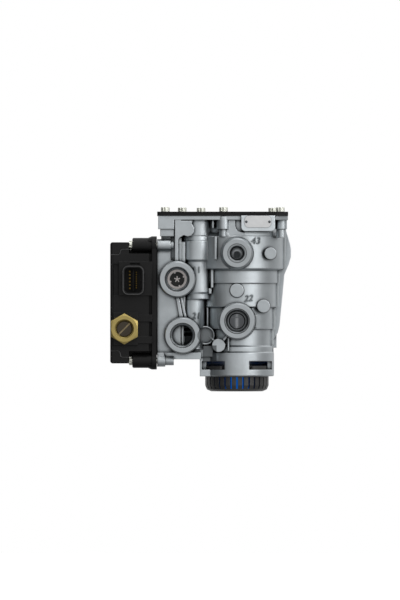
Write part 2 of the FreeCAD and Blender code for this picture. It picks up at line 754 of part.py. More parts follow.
node("guide_seal", ring(
    "guide_seal", "guide_bore - 1.98", "guide_bore - 0.02", "guide_shoulder - 3.9",
    "guide_shoulder - 1.6", RELAY_AXIS))
circlip = ring(
    "circlip_ring", "guide_bore - 3", "guide_bore + 1.5", "guide_shoulder - guide_height - 1.7",
    "guide_shoulder - guide_height", RELAY_AXIS)
circlip_gap = block(
    "circlip_gap", (-5, "relay_depth + 20", "guide_shoulder - guide_height - 3"),
    (5, "relay_depth + 40", "guide_shoulder - guide_height + 1"),
)
node("guide_circlip", cut("circlip", circlip, [circlip_gap]))

# Silencer: a slotted cap with hooks in the collar windows, and a ring of filter mesh inside it.
silencer_shell = turned(
    "silencer_shell",
    [
        (0, "silencer_bottom"),
        ("silencer_radius - 6", "silencer_bottom"),
        ("silencer_radius - 1.8", "silencer_bottom + 1.8"),
        ("silencer_radius", "silencer_bottom + 6"),
        ("silencer_radius", "collar_bottom"),
        ("guide_bore - 0.2", "collar_bottom"),
        ("guide_bore - 0.2", -66),
        ("guide_bore - 3.4", -66),
        ("guide_bore - 3.4", "silencer_bottom + 2.6"),
        (0, "silencer_bottom + 2.6"),
    ],
    RELAY_AXIS,
)
hooks = [
    block(f"hook_{i}", (x, "relay_depth - 32.5", -69.8), (x + 15, "relay_depth - 22", -66.4))
    for i, x in enumerate((-30, 15))
]
hook_core = rod("hook_core", "guide_bore - 3.4", 12, (0, "relay_depth", -74))
hook_limit = ring("hook_limit", "collar_radius - 0.8", 60, -80, -60, RELAY_AXIS)
hook_shape = cut("hook_shape", joined("hook_pair", hooks), [hook_core, hook_limit])
silencer_body = joined("silencer_body", [silencer_shell, hook_shape])
slits = []
for i in range(32):
    turn = FreeCAD.Rotation(FreeCAD.Vector(0, 0, 1), i * 11.25)
    corner = turn.multVec(FreeCAD.Vector(24, -0.85, 0))
    slit = doc.addObject("Part::Box", f"slit_{i}")
    slit.Length, slit.Width = 16, 1.7
    slit.Placement = FreeCAD.Placement(corner, turn)
    bind(slit, "Height", "collar_bottom - silencer_bottom - 3.5")
    bind(slit, "Placement.Base.y", f"relay_depth + {corner.y}")
    bind(slit, "Placement.Base.z", "silencer_bottom + 2.7")
    slits.append(slit)
node("silencer_cap", cut("silencer", silencer_body, slits))
node("silencer_element", ring(
    "silencer_element", "guide_bore - 7", "guide_bore - 3.45", "silencer_bottom + 2.6",
    "collar_bottom + 6", RELAY_AXIS))

# Strainer cup behind the thread of the supply port: a ring with short teeth, two spokes and a centre star.
STRAINER_AXIS = ("supply_across", "port_face", "supply_height")
strainer_ring = turned(
    "strainer_ring",
    [
        (7.45, "port_thread_length + 6"), (8, "port_thread_length + 5"), (8.6, "port_thread_length + 5.6"),
        (9.2, "port_thread_length + 5"), ("port_thread - 0.55", "port_thread_length + 5.4"),
        ("port_thread - 0.55", STRAINER_FLOOR), (7.45, STRAINER_FLOOR),
    ],
    STRAINER_AXIS,
    "+Y",
)


def spoke(name, low, high, width, front, back, turn):
    twist = FreeCAD.Rotation(FreeCAD.Vector(0, 1, 0), turn)
    corner = twist.multVec(FreeCAD.Vector(low, 0, -width / 2))
    bar = doc.addObject("Part::Box", name)
    bar.Length, bar.Height = high - low, width
    bar.Placement.Rotation = twist
    bind(bar, "Width", f"({back}) - ({front})")
    bind(bar, "Placement.Base.x", f"supply_across + {corner.x}")
    bind(bar, "Placement.Base.y", f"port_face + {front}")
    bind(bar, "Placement.Base.z", f"supply_height + {corner.z}")
    return bar


strainer = [strainer_ring]
for i in range(4):
    strainer.append(spoke(f"strainer_tooth_{i}", 6.3, 7.9, 1.5, "port_thread_length + 6.4", STRAINER_FLOOR, 20 + 90 * i))
for i in range(2):
    strainer.append(spoke(
        f"strainer_spoke_{i}", -7.9, 7.9, 0.9, f"{STRAINER_FLOOR} - 2", STRAINER_FLOOR, 20 + 90 * i))
for i, turn in enumerate((10, 80, 130)):
    strainer.append(spoke(
        f"strainer_star_{i}", -3.1, 3.1, 1.3, "port_thread_length + 8", STRAINER_FLOOR, turn))
node("port_strainer", joined("strainer_body", strainer))

# Throttle valve in the left column: piston, seal, spring under it and the cap that it stops against.
THROTTLE_AXIS = ("column_across", "column_depth", 0)
node("throttle_piston", turned(
    "throttle_piston",
    [
        (0, "throttle_rest"),
        ("throttle_bore - clearance", "throttle_rest"),
        ("throttle_bore - clearance", "throttle_rest + 4"),
        ("throttle_bore - 2", "throttle_rest + 4"),
        ("throttle_bore - 2", "throttle_rest + 6.5"),
        ("throttle_bore - clearance", "throttle_rest + 6.5"),
        ("throttle_bore - clearance", "throttle_rest + 12"),
        (0, "throttle_rest + 12"),
    ],
    THROTTLE_AXIS,
))
node("throttle_seal", ring(
    "throttle_seal", "throttle_bore - 1.98", "throttle_bore - 0.02", "throttle_rest + 4.1",
    "throttle_rest + 6.4", THROTTLE_AXIS))
node("throttle_spring", coiled(
    "throttle_spring", "throttle_bore - 2.4", 1.2, "throttle_stroke + 4", 2,
    ("column_across", "column_depth", "throttle_rest - throttle_stroke - 4"),
))
node("throttle_cap", turned(
    "throttle_cap",
    [
        ("throttle_bore - 4", "throttle_rest + 12"),
        ("throttle_bore - clearance", "throttle_rest + 12"),
        ("throttle_bore - clearance", "flange_top"),
        (0, "flange_top"),
        (0, "flange_top - 3"),
        ("throttle_bore - 4", "flange_top - 3"),
    ],
    THROTTLE_AXIS,
))

# Control unit housing: a hollow box with a flange and screw sleeves against the casting.
UNIT_BACK_FACE = "plate_left - seal_thickness"
FLANGE_FACE = "plate_left - seal_thickness - unit_flange"
LID_FACE = "unit_left + unit_wall"
unit = [
    block("unit_box", (LID_FACE, "unit_front", "unit_bottom"), ("plate_left - 8.2", "unit_back", "unit_top")),
    block("unit_neck", ("plate_left - 9", "unit_front + 8", "unit_bottom"),
          ("plate_left - 4", "unit_back", "unit_top")),
    block("unit_flange_plate", (FLANGE_FACE, "unit_front + 2", "unit_bottom"),
          (UNIT_BACK_FACE, "unit_back + 2", "unit_top")),
    block("connector_panel", ("socket_left - 5.9", "unit_front - 2", "socket_low - 2.8"),
          (FLANGE_FACE, "unit_front + 12", "socket_high + 6.2")),
    block("fitting_pad_block", (LID_FACE, "fitting_pad", "fitting_height - 16.4"),
          ("fitting_across + 13.6", "unit_front + 4", "fitting_height + 16.4")),
]
for i, low in enumerate(("fitting_height + 7.1", "fitting_height - 14.7")):
    unit.append(block(
        f"unit_arm_{i}", ("fitting_across + 12", "unit_front - 1.6", low),
        (FLANGE_FACE, "unit_front + 9", f"{low} + 7.2")
    ))
sleeve_shape = [
    (3.4, 0), ("sleeve_radius + 1.6", 0), ("sleeve_radius + 1.6", "unit_flange"),
    ("sleeve_radius", "unit_flange + 4"), ("sleeve_radius", "unit_flange + 18.6"),
    ("sleeve_radius - 1", "unit_flange + 19.6"), (3.4, "unit_flange + 19.6"),
]
for i, (y, z) in enumerate(SLEEVES):
    unit.append(turned(f"unit_sleeve_{i}", sleeve_shape, (UNIT_BACK_FACE, y, z), "-X"))
socket_outer = rounded(
    "socket_outer",
    block("socket_block", ("socket_left - 1.4", "socket_mouth", "socket_low - 1.2"),
          ("socket_right + 1.2", "unit_front + 2", "socket_high + 1.4")),
    5, along("y"),
)
unit.append(socket_outer)
for i, (x, z) in enumerate([(-115.2, 26.3), (-115.2, 17.2), (-94.4, 26.3), (-94.4, 17.2)]):
    unit.append(block(f"socket_tab_{i}", (x, "socket_mouth + 3", z), (x + 1.8, "unit_front", z + 2)))
unit_body = joined("unit_body", unit)

# Corners of the housing that belong to the lid, seen from the front.
LID_CORNERS = [
    [(LID_FACE, "unit_top + 0.5"), (-108.2, "unit_top + 0.5"), (-108.2, 50.8), (-115.2, 50.8),
     (-116.6, 49.6), (-117.2, 46.4), (-118.8, 45.3), (LID_FACE, 45.3)],
    [(LID_FACE, "unit_bottom - 0.5"), (-108.2, "unit_bottom - 0.5"), (-108.2, -57.4),
     (-115.2, -57.4), (-116.6, -56.2), (-117.2, -52.6), (-118.8, -51), (LID_FACE, -51)],
]
CAVITY_FRONT = "unit_front + 16"
unit_hollows = [
    block("unit_cavity", ("unit_left - 1", CAVITY_FRONT, "unit_bottom + 15"),
          ("plate_left - 4", "unit_back - 4", "unit_top - 14")),
    rounded(
        "socket_opening",
        block("socket_void", ("socket_left", "socket_mouth - 1", "socket_low"),
              ("socket_right", "socket_floor", "socket_high")),
        4, along("y"),
    ),
    block("key_recess", ("socket_left + 5.4", "unit_front - 3", "socket_high + 1.9"),
          ("socket_right - 2", "unit_front + 1", "socket_high + 4.6")),
    block("side_recess", ("unit_left - 3", "unit_front - 3", "socket_low - 2.6"),
          ("socket_left - 5.9", "unit_front + 2.5", "socket_high + 3.8")),
    rod("fitting_hole", 9.0, 12, ("fitting_across", "fitting_pad - 1", "fitting_height"), "+Y"),
    rod("fitting_way", 3.5, 30, ("fitting_across", "fitting_pad - 1", "fitting_height"), "+Y"),
]
for i, corner in enumerate(LID_CORNERS):
    unit_hollows.append(flat(f"lid_gap_{i}", corner, 16.5, (0, "unit_front + 15.5", 0)))
for i, (low, high) in enumerate([("sleeve_top - 8.6", "unit_top + 1"), ("unit_bottom - 1", "sleeve_bottom + 9.4")]):
    for j, (near, far) in enumerate([("unit_front - 1", "sleeve_front + 9"), ("sleeve_back - 9", "unit_back + 1")]):
        pocket = block(f"sleeve_pocket_{i}{j}", (-108.2, near, low), (FLANGE_FACE, far, high))
        y, z = SLEEVES[j + 2 * i]
        keep = rod(f"sleeve_keep_{i}{j}", "sleeve_radius + 0.01", "unit_flange + 19.6",
                   (UNIT_BACK_FACE, y, z), "-X")
        unit_hollows.append(cut(f"sleeve_room_{i}{j}", pocket, [keep]))
for i, (y, z) in enumerate(SLEEVES):
    unit_hollows.append(rod(f"sleeve_bore_{i}", 3.4, 32, ("plate_left + 1", y, z), "-X"))

WIDE_PINS = [28.5 - 3.36 * i for i in range(6)]
NARROW_PINS = [27.7 - 2.21 * i for i in range(8)]


def pins(name, across, heights, side):
    half = side / 2
    return [
        block(f"{name}_{i}", (across - half, "socket_floor - 9", z - half),
              (across + half, f"{CAVITY_FRONT} + 1", z + half))
        for i, z in enumerate(heights)
    ]


wide = pins("wide_pin", -107.4, WIDE_PINS, 1.6)
narrow = pins("narrow_pin", -100.8, NARROW_PINS, 1.1)
wide_holes = pins("wide_hole", -107.4, WIDE_PINS, 1.6)
narrow_holes = pins("narrow_hole", -100.8, NARROW_PINS, 1.1)
node("control_housing", cut("unit", unit_body, unit_hollows + wide_holes + narrow_holes))
node("pins_wide", grouped("wide_pins", wide))
node("pins_narrow", grouped("narrow_pins", narrow))

# Lid: an end plate with the two front corners, rounded along its outer edges.
LID_GAP = 0.45
lid_plate = block("lid_plate", ("unit_left", "unit_front", "unit_bottom"), (LID_FACE, "unit_back", "unit_top"))
lid_parts = [rounded("lid_round", lid_plate, 2.5, lambda a, b: a.x < number("unit_left") + 0.01
                     and b.x < number("unit_left") + 0.01)]
for i in range(2):
    edge = ["unit_top", "unit_bottom"][i]
    shift = [LID_GAP, -LID_GAP][i]
    shape = [(f"{x} - {LID_GAP}", edge if edge in str(z) else f"{z} + {shift}") for x, z in LID_CORNERS[i]]
    lid_parts.append(flat(f"lid_corner_{i}", shape, 15.2, (0, "unit_front + 15.2", 0)))
lid_rim = cut(
    "lid_rim",
    block("lid_rim_outer", (LID_FACE, f"{CAVITY_FRONT} + 0.2", "unit_bottom + 15.2"),
          (f"{LID_FACE} + 3", "unit_back - 4.2", "unit_top - 14.2")),
    [block("lid_rim_inner", (f"{LID_FACE} - 1", f"{CAVITY_FRONT} + 1.8", "unit_bottom + 16.8"),
           (f"{LID_FACE} + 4", "unit_back - 5.8", "unit_top - 15.8"))],
)
node("control_lid", joined("lid", lid_parts + [lid_rim]))

# Gasket between the control unit and the casting.
gasket_sheet = block("gasket_sheet", (UNIT_BACK_FACE, -92, -55), ("plate_left", -20, 56))
gasket_window = block("gasket_window", ("plate_left - 2", -86, -49), ("plate_left + 1", -26, 50))
gasket_holes = [rod(f"gasket_hole_{i}", 3.4, 3, ("plate_left - 2", y, z), "+X")
                for i, (y, z) in enumerate(SLEEVES)]
node("control_gasket", cut("gasket", gasket_sheet, [gasket_window] + gasket_holes))

unit_screws = [
    lobed_screw(f"unit_screw_{i}", 4.5, "14 + seal_thickness + unit_flange + 19.7", 3.2,
                 ("plate_left + 14", y, z), "-X")
    for i, (y, z) in enumerate(SLEEVES)
]
node("control_screws", grouped("unit_screw_set", unit_screws))

# Brass test fitting with its slotted plug.
FITTING = ("fitting_across", "fitting_pad", "fitting_height")
nut = hexagon("fitting_hexagon", "fitting_flats", 9, FITTING, "-Y", 90)
nut_limit = turned(
    "nut_limit",
    [(0, 0), ("fitting_flats / 2 + 3", 0), ("fitting_flats / 2 + 3", 7.4), ("fitting_flats / 2 - 0.6", 9), (0, 9)],
    FITTING, "-Y",
)
nut_shape = doc.addObject("Part::Common", "nut_shape")
nut_shape.Base = nut
nut_shape.Tool = nut_limit
fitting_stem = rod("fitting_stem", 8.95, 10.9, FITTING, "+Y")
fitting_bores = [
    turned("fitting_bore_shape", [
        (0, -1), ("fitting_bore", -1), ("fitting_bore", 0.8), ("fitting_bore - 1.6", 2.4),
        ("fitting_bore - 1.6", 12), (3, 13), (3, 30), (0, 30),
    ], ("fitting_across", "fitting_pad - 9", "fitting_height"), "+Y"),
]
node("test_fitting", cut("fitting", joined("fitting_body", [nut_shape, fitting_stem]), fitting_bores))
plug_body = turned(
    "plug_body",
    [(0, 1.6), ("fitting_bore - 2.4", 1.6), ("fitting_bore - 1.7", 2.3), ("fitting_bore - 1.7", 9), (0, 9)],
    ("fitting_across", "fitting_pad - 9", "fitting_height"), "+Y",
)
plug_slot = doc.addObject("Part::Box", "plug_slot")
slot_turn = FreeCAD.Rotation(FreeCAD.Vector(0, 1, 0), -47)
slot_corner = slot_turn.multVec(FreeCAD.Vector(-10, 0, -0.9))
plug_slot.Length, plug_slot.Width, plug_slot.Height = 20, 4, 1.8
plug_slot.Placement = FreeCAD.Placement(slot_corner, slot_turn)
bind(plug_slot, "Placement.Base.x", f"fitting_across + {slot_corner.x}")
bind(plug_slot, "Placement.Base.y", "fitting_pad - 9")
bind(plug_slot, "Placement.Base.z", f"fitting_height + {slot_corner.z}")
node("fitting_plug", cut("plug", plug_body, [plug_slot]))

# Solenoids: three upright coils on the valve block, each with a core, an armature and its spring.
COIL_BOTTOM = -30
node("valve_block", cut(
    "valve_block_shape",
    block("valve_block_body", (-118, -90, "unit_bottom + 15"), ("plate_left - 4", -24, COIL_BOTTOM)),
    [rod(f"nozzle_{i}", 1.2, 30, (-104, f"coil_depth + {22.5 * (i - 1)}", COIL_BOTTOM - 12), "+Z")
     for i in range(3)],
))
for i in range(3):
    axis = (-104, f"coil_depth + {22.5 * (i - 1)}", 0)
    node(f"solenoid_coil_{i + 1}", turned(
        f"coil_{i}",
        [("armature_radius + clearance", COIL_BOTTOM), ("coil_radius", COIL_BOTTOM),
         ("coil_radius", -28), ("coil_radius - 1", -28), ("coil_radius - 1", -8),
         ("coil_radius", -8), ("coil_radius", -6), ("armature_radius + clearance", -6)],
        axis,
    ))
    node(f"solenoid_core_{i + 1}", turned(
        f"core_{i}", [(0, -14), ("armature_radius", -14), ("armature_radius", -6), (7, -6), (7, -4), (0, -4)],
        axis,
    ))
    node(f"solenoid_armature_{i + 1}", turned(
        f"armature_{i}",
        [(0, COIL_BOTTOM), ("armature_radius", COIL_BOTTOM), ("armature_radius", -14.2 - 0.8),
         (2.6, -14.2 - 0.8), (2.6, -21), (0, -21)],
        axis,
    ))
    node(f"armature_spring_{i + 1}", coiled(
        f"armature_coil_{i}", 1.9, 0.5, 7, 3, (axis[0], axis[1], -21)))

node("circuit_board", block("board", (-121, -90, -46), (-119.4, -25, 42)))
node("pressure_sensor", turned(
    "sensor", [(0, 0), (7, 0), (7, 3), (5.5, 3), (5.5, 12), (0, 12)],
    ("plate_left - 4", -58, 24), "-X",
))

doc.recompute()
os.makedirs("parts", exist_ok=True)
for item in doc.Objects:
    if "Invalid" in item.State or "Error" in item.State:
        raise RuntimeError(f"{item.Name} is not valid: {item.State}")
for label, item in NODES.items():
    if item.Shape.isNull() or not item.Shape.isValid():
        raise RuntimeError(f"{label} has no valid shape")
    item.Shape.exportStep(f"parts/{label}.step")
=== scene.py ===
import math

import bmesh
import bpy
from mathutils import Matrix, Vector


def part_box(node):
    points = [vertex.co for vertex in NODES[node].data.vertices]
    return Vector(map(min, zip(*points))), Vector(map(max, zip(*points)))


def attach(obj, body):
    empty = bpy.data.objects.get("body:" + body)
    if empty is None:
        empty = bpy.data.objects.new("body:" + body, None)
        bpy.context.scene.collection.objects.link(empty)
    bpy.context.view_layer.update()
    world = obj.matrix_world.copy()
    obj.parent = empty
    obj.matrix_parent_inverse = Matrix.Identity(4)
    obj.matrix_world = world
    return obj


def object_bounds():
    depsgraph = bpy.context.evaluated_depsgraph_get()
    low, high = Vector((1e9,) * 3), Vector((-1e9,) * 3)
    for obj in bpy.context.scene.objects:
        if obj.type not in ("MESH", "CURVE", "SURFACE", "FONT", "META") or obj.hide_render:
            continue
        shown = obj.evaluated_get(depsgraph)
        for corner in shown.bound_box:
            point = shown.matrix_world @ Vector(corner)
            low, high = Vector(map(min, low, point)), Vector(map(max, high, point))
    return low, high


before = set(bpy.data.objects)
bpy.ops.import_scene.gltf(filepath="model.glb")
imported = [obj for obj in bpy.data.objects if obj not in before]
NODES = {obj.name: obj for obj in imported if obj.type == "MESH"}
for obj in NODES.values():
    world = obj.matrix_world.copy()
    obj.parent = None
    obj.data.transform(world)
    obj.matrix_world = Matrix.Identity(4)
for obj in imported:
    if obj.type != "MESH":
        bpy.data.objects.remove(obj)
CAD_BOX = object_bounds()

bl_info = {
    "name": "Trailer Control Valve",
    "version": (1, 0, 0),
    "blender": (4, 5, 0),
    "location": "View3D > Sidebar > Valve",
    "description": "Dresses the packed trailer control valve and sets its studio",
    "category": "Object",
}

# The photograph is 400 x 600 and one of its pixels is one millimetre.
PICTURE_HEIGHT = 0.6
PICTURE_CENTRE_X = -0.0371
CAMERA_DISTANCE = 12.0

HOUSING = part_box("valve_housing")
COLLAR_BOTTOM = -0.0765
RELAY_DEPTH = -0.056

# Axes of the ports: name, X, Z, inside radius of the thread, radius that is machined round the mouth.
PORTS = (
    ("port_11", -0.0600, 0.0208, 0.0102, 0.0178),
    ("port_21", -0.0546, -0.0354, 0.0102, 0.0178),
    ("port_22", 0.0, -0.0211, 0.0102, 0.0178),
    ("port_43", 0.0, 0.0468, 0.0072, 0.0146),
)
THREAD_FRONT = -0.1136
THREAD_BACK = -0.1004
SMALL_THREAD_FRONT = -0.1131
SMALL_THREAD_BACK = -0.1034
THREAD_PITCH = 0.0015
THREAD_DEPTH = 0.00042
THREAD_MARGIN = 0.0004
TURNING_PITCH = 0.0009

# Raised port numbers: text, height, X, Z, turn in degrees, slant.
NUMBERS = (
    ("43", 0.0069, 0.0189, 0.0590, 0.0, 0.15),
    ("11", 0.0065, -0.0403, 0.0299, 0.0, 0.0),
    ("22", 0.0066, 0.0111, 0.0013, 6.0, 0.35),
    ("21", 0.0065, -0.0411, -0.0161, 2.0, 0.2),
)
NUMBER_HEIGHT = 0.0009

# Boxes on the casting: the corner above the collar, darkened with painted shade, and the pad
# under the nameplate, painted brighter.
FOOT_CORNER = ((-0.0345, -0.13, -0.0612), (-0.0205, -0.0805, -0.0455))
PLATE_PAD = ((0.003, -0.13, 0.0684), (0.0386, -0.1055, 0.09))

# Edges of the lid's front corners, as (X, Z) seen from the front.
LID_LINES = (
    ((-0.1265, 0.0453), (-0.1188, 0.0453), (-0.1172, 0.0464), (-0.1166, 0.0496), (-0.1152, 0.0508),
     (-0.1086, 0.0508)),
    ((-0.1265, -0.0510), (-0.1188, -0.0510), (-0.1172, -0.0526), (-0.1166, -0.0562), (-0.1152, -0.0574),
     (-0.1086, -0.0574)),
)

# Left, right, low and high side of the connector's rim, and the radius of its corners.
SOCKET_RIM = (-0.1141, -0.0939, 0.0056, 0.0337)
SOCKET_BEND = 0.0052

# Y and radius of the beads along the lid and round the connector, lit with a painted highlight.
LID_BEAD = (-0.1080, 0.00045)
SOCKET_BEAD = (-0.1179, 0.0006)

# Boxes: size, centre, rounding. The key is a rod: radius, length, centre.
CONNECTOR_WALL = ((0.0008, 0.0165, 0.0225), (-0.1041, -0.1054, 0.0197), 0.0002)
COLUMN_FIN = ((0.0022, 0.016, 0.0095), (-0.0242, -0.0900, 0.0767), 0.0005)
CONNECTOR_KEY = (0.0009, 0.017, (-0.0965, -0.1057, 0.0199))

# The band by the nameplate pad: its corners as (radius, Z), and its start and sweep in degrees.
PAD_BAND = ((0.0410, 0.0640), (0.0464, 0.0640), (0.0464, 0.0687), (0.0410, 0.0687))
PAD_BAND_START = 9.0
PAD_BAND_SWEEP = 43.0

# The wall in the lower left port. Its straight side is measured from the port's axis.
PORT_WALL_RADIUS = 0.0096
PORT_WALL_SIDE = -0.0020
PORT_WALL_THICKNESS = 0.001
PORT_WALL_Y = -0.0980

# Outlines of the rings in the ports as (radius, Y), the bars of the strainer, and the black disc behind
# them, painted shade in its openings.
STRAINER_RING = (
    (0.00745, -0.0986), (0.00745, -0.0994), (0.0078, -0.0997), (0.0082, -0.0994), (0.0084, -0.0997),
    (0.0090, -0.0994), (0.0092, -0.0997), (0.0098, -0.0994), (0.0100, -0.0997), (0.01013, -0.0994),
    (0.01013, -0.0986),
)
SEAT_RING = (
    (0.0086, -0.0984), (0.0086, -0.0992), (0.0089, -0.0995), (0.0098, -0.0995), (0.01013, -0.0992),
    (0.01013, -0.0984),
)
BAR_Y = -0.0991
SHADE_DISC_RADIUS = 0.0100
SHADE_DISC_THICKNESS = 0.0004
SHADE_DISC_Y = -0.0980

# Bright rims in the mouths of two ports: place in PORTS, inner and outer radius.
PORT_RIMS = ((2, 0.01125, 0.01210), (1, 0.01045, 0.01185))
RIM_BACK = -0.1112
RIM_FRONT = -0.1118

SLOT_HALF_WIDTH = 0.0011
FLOOR_DROP = 0.25
LIGHT_AIM = (-0.03, -0.06, 0.0)

# Brightness of the room all around: place from behind over the left, the camera and the right, light.
ROOM_WALLS = (
    (0.0, 0.85), (0.14, 0.8), (0.21, 0.30), (0.29, 0.09), (0.38, 0.15), (0.44, 0.66), (0.50, 0.90),
    (0.57, 0.92), (0.63, 0.95), (0.70, 0.50), (0.77, 0.38), (0.86, 0.8), (1.0, 0.85),
)

# Shaded circles on the front of the casting, at undercuts, run-outs and the feet of round forms:
# X, Z, middle radius, width, nearest Y, darkness, whether only their right side is dark.
CIRCLES = (
    (-0.0600, 0.0208, 0.0116, 0.0013, -0.13, 0.75, False),
    (-0.0600, 0.0208, 0.0186, 0.0014, -0.112, 0.6, True),
    (-0.0546, -0.0354, 0.0123, 0.0009, -0.13, 0.75, False),
    (-0.0546, -0.0354, 0.0100, 0.0008, -0.13, 0.9, False),
    (-0.0546, -0.0354, 0.0186, 0.0014, -0.112, 0.6, True),
    (0.0, -0.0211, 0.01255, 0.0008, -0.13, 0.75, False),
    (0.0, -0.0211, 0.0106, 0.0012, -0.13, 0.8, False),
    (0.0, -0.0211, 0.0079, 0.0012, -0.13, 0.8, False),
    (0.0, -0.0211, 0.0186, 0.0015, -0.112, 0.6, True), (0.0, 0.0468, 0.0097, 0.0004, -0.13, 0.6, False),
    (0.0, 0.0468, 0.0064, 0.0012, -0.13, 0.85, False), (0.0, 0.0468, 0.0162, 0.0014, -0.111, 0.6, True),
    (0.0335, 0.0467, 0.0064, 0.0008, -0.13, 0.45, False),
    (-0.0002, 0.0096, 0.00725, 0.0008, -0.13, 0.6, False),
    (0.0266, -0.0061, 0.0069, 0.0008, -0.13, 0.45, False),
    (-0.0185, -0.0455, 0.0070, 0.0008, -0.13, 0.5, False),
    (-0.0318, -0.0354, 0.0040, 0.0080, -0.13, 0.55, False),
)


# Node trees


def new_material(name):
    material = bpy.data.materials.new(name)
    material.use_nodes = True
    tree = material.node_tree
    tree.nodes.clear()
    output = tree.nodes.new("ShaderNodeOutputMaterial")
    surface = tree.nodes.new("ShaderNodeBsdfPrincipled")
    tree.links.new(surface.outputs["BSDF"], output.inputs["Surface"])
    return material, tree, surface


def object_place(tree):
    return tree.nodes.new("ShaderNodeTexCoord").outputs["Object"]


def noise(tree, scale, detail=3.0, roughness=0.55, stretch=None):
    source = object_place(tree)
    if stretch:
        mapping = tree.nodes.new("ShaderNodeMapping")
        mapping.inputs["Scale"].default_value = stretch
        tree.links.new(source, mapping.inputs["Vector"])
        source = mapping.outputs["Vector"]
    texture = tree.nodes.new("ShaderNodeTexNoise")
    texture.inputs["Scale"].default_value = scale
    texture.inputs["Detail"].default_value = detail
    texture.inputs["Roughness"].default_value = roughness
    tree.links.new(source, texture.inputs["Vector"])
    return texture.outputs["Fac"]


def math_node(tree, operation, *values):
    node = tree.nodes.new("ShaderNodeMath")
    node.operation = operation
    for socket, value in zip(node.inputs, values):
        if isinstance(value, bpy.types.NodeSocket):
            tree.links.new(value, socket)
        else:
            socket.default_value = value
    return node.outputs[0]


def ramp(tree, factor, low, high, start=0.35, end=0.65):
    node = tree.nodes.new("ShaderNodeValToRGB")
    node.color_ramp.elements[0].position = start
    node.color_ramp.elements[1].position = end
    node.color_ramp.elements[0].color = (*low, 1.0)
    node.color_ramp.elements[1].color = (*high, 1.0)
    tree.links.new(factor, node.inputs["Fac"])
    return node.outputs["Color"]


def spread(tree, factor, low, high, start=0.0, end=1.0):
    node = tree.nodes.new("ShaderNodeMapRange")
    node.inputs["From Min"].default_value = start
    node.inputs["From Max"].default_value = end
    node.inputs["To Min"].default_value = low
    node.inputs["To Max"].default_value = high
    tree.links.new(factor, node.inputs["Value"])
    return node.outputs["Result"]


def mixed(tree, factor, first, second):
    node = tree.nodes.new("ShaderNodeMix")
    node.data_type = "RGBA"
    tree.links.new(factor, node.inputs["Factor"])
    tree.links.new(first, node.inputs["A"])
    tree.links.new(second, node.inputs["B"])
    return node.outputs["Result"]


def rounded_edge(tree, radius):
    bevel = tree.nodes.new("ShaderNodeBevel")
    bevel.samples = 8
    if isinstance(radius, bpy.types.NodeSocket):
        tree.links.new(radius, bevel.inputs["Radius"])
    else:
        bevel.inputs["Radius"].default_value = radius
    return bevel.outputs["Normal"]


def painted_crease_shade(tree, colour, reach, depth):
    """Darkens a colour in the inner corners by ambient occlusion: painted shade."""
    corner = tree.nodes.new("ShaderNodeAmbientOcclusion")
    corner.samples = 8
    corner.inputs["Distance"].default_value = reach
    shade = tree.nodes.new("ShaderNodeMix")
    shade.data_type = "RGBA"
    shade.blend_type = "MULTIPLY"
    shade.inputs["Factor"].default_value = depth
    tree.links.new(colour, shade.inputs["A"])
    tree.links.new(ramp(tree, corner.outputs["AO"], (0.0, 0.0, 0.0), (1.0, 1.0, 1.0), 0.38, 0.92),
                   shade.inputs["B"])
    return shade.outputs["Result"]


def relief(tree, heights, edge=0.0):
    """Stacks bumps, the coarsest first, on top of a rounded edge."""
    normal = rounded_edge(tree, edge) if edge else None
    for factor, depth, strength in heights:
        bump = tree.nodes.new("ShaderNodeBump")
        bump.inputs["Distance"].default_value = depth
        bump.inputs["Strength"].default_value = strength
        tree.links.new(factor, bump.inputs["Height"])
        if normal:
            tree.links.new(normal, bump.inputs["Normal"])
        normal = bump.outputs["Normal"]
    return normal


def axis_distance(tree, x, z):
    """Distance from a line that runs along Y."""
    mapping = tree.nodes.new("ShaderNodeMapping")
    mapping.inputs["Location"].default_value = (-x, 0.0, -z)
    tree.links.new(object_place(tree), mapping.inputs["Vector"])
    parts = tree.nodes.new("ShaderNodeSeparateXYZ")
    tree.links.new(mapping.outputs["Vector"], parts.inputs["Vector"])
    square = math_node(tree, "ADD", math_node(tree, "POWER", parts.outputs["X"], 2.0),
                       math_node(tree, "POWER", parts.outputs["Z"], 2.0))
    return math_node(tree, "SQRT", square), parts.outputs["Y"]


def machined_places(tree):
    """Mask of the turned port mouths, and the turning marks on them.

    Within a thread's radius the mask has no far limit, so it reaches the back of the housing too.
    """
    mask, marks = None, None
    for _, x, z, thread, mouth in PORTS:
        distance, depth = axis_distance(tree, x, z)
        near = math_node(tree, "LESS_THAN", distance, mouth)
        front = math_node(tree, "LESS_THAN", depth, SMALL_THREAD_FRONT)
        inner = math_node(tree, "LESS_THAN", distance, thread + THREAD_MARGIN)
        place = math_node(tree, "MULTIPLY", near, math_node(tree, "MAXIMUM", front, inner))
        rings = math_node(tree, "MULTIPLY", place, math_node(tree, "SINE",
                          math_node(tree, "MULTIPLY", distance, 2 * math.pi / TURNING_PITCH)))
        mask = place if mask is None else math_node(tree, "MAXIMUM", mask, place)
        marks = rings if marks is None else math_node(tree, "ADD", marks, rings)
    return mask, marks


def within(tree, box):
    """1 inside a box given as ((X, Y, Z), (X, Y, Z)), else 0."""
    parts = tree.nodes.new("ShaderNodeSeparateXYZ")
    tree.links.new(object_place(tree), parts.inputs["Vector"])
    inside = None
    for axis, low, high in zip("XYZ", *box):
        near = math_node(tree, "COMPARE", parts.outputs[axis], (low + high) / 2, (high - low) / 2)
        inside = near if inside is None else math_node(tree, "MULTIPLY", inside, near)
    return inside


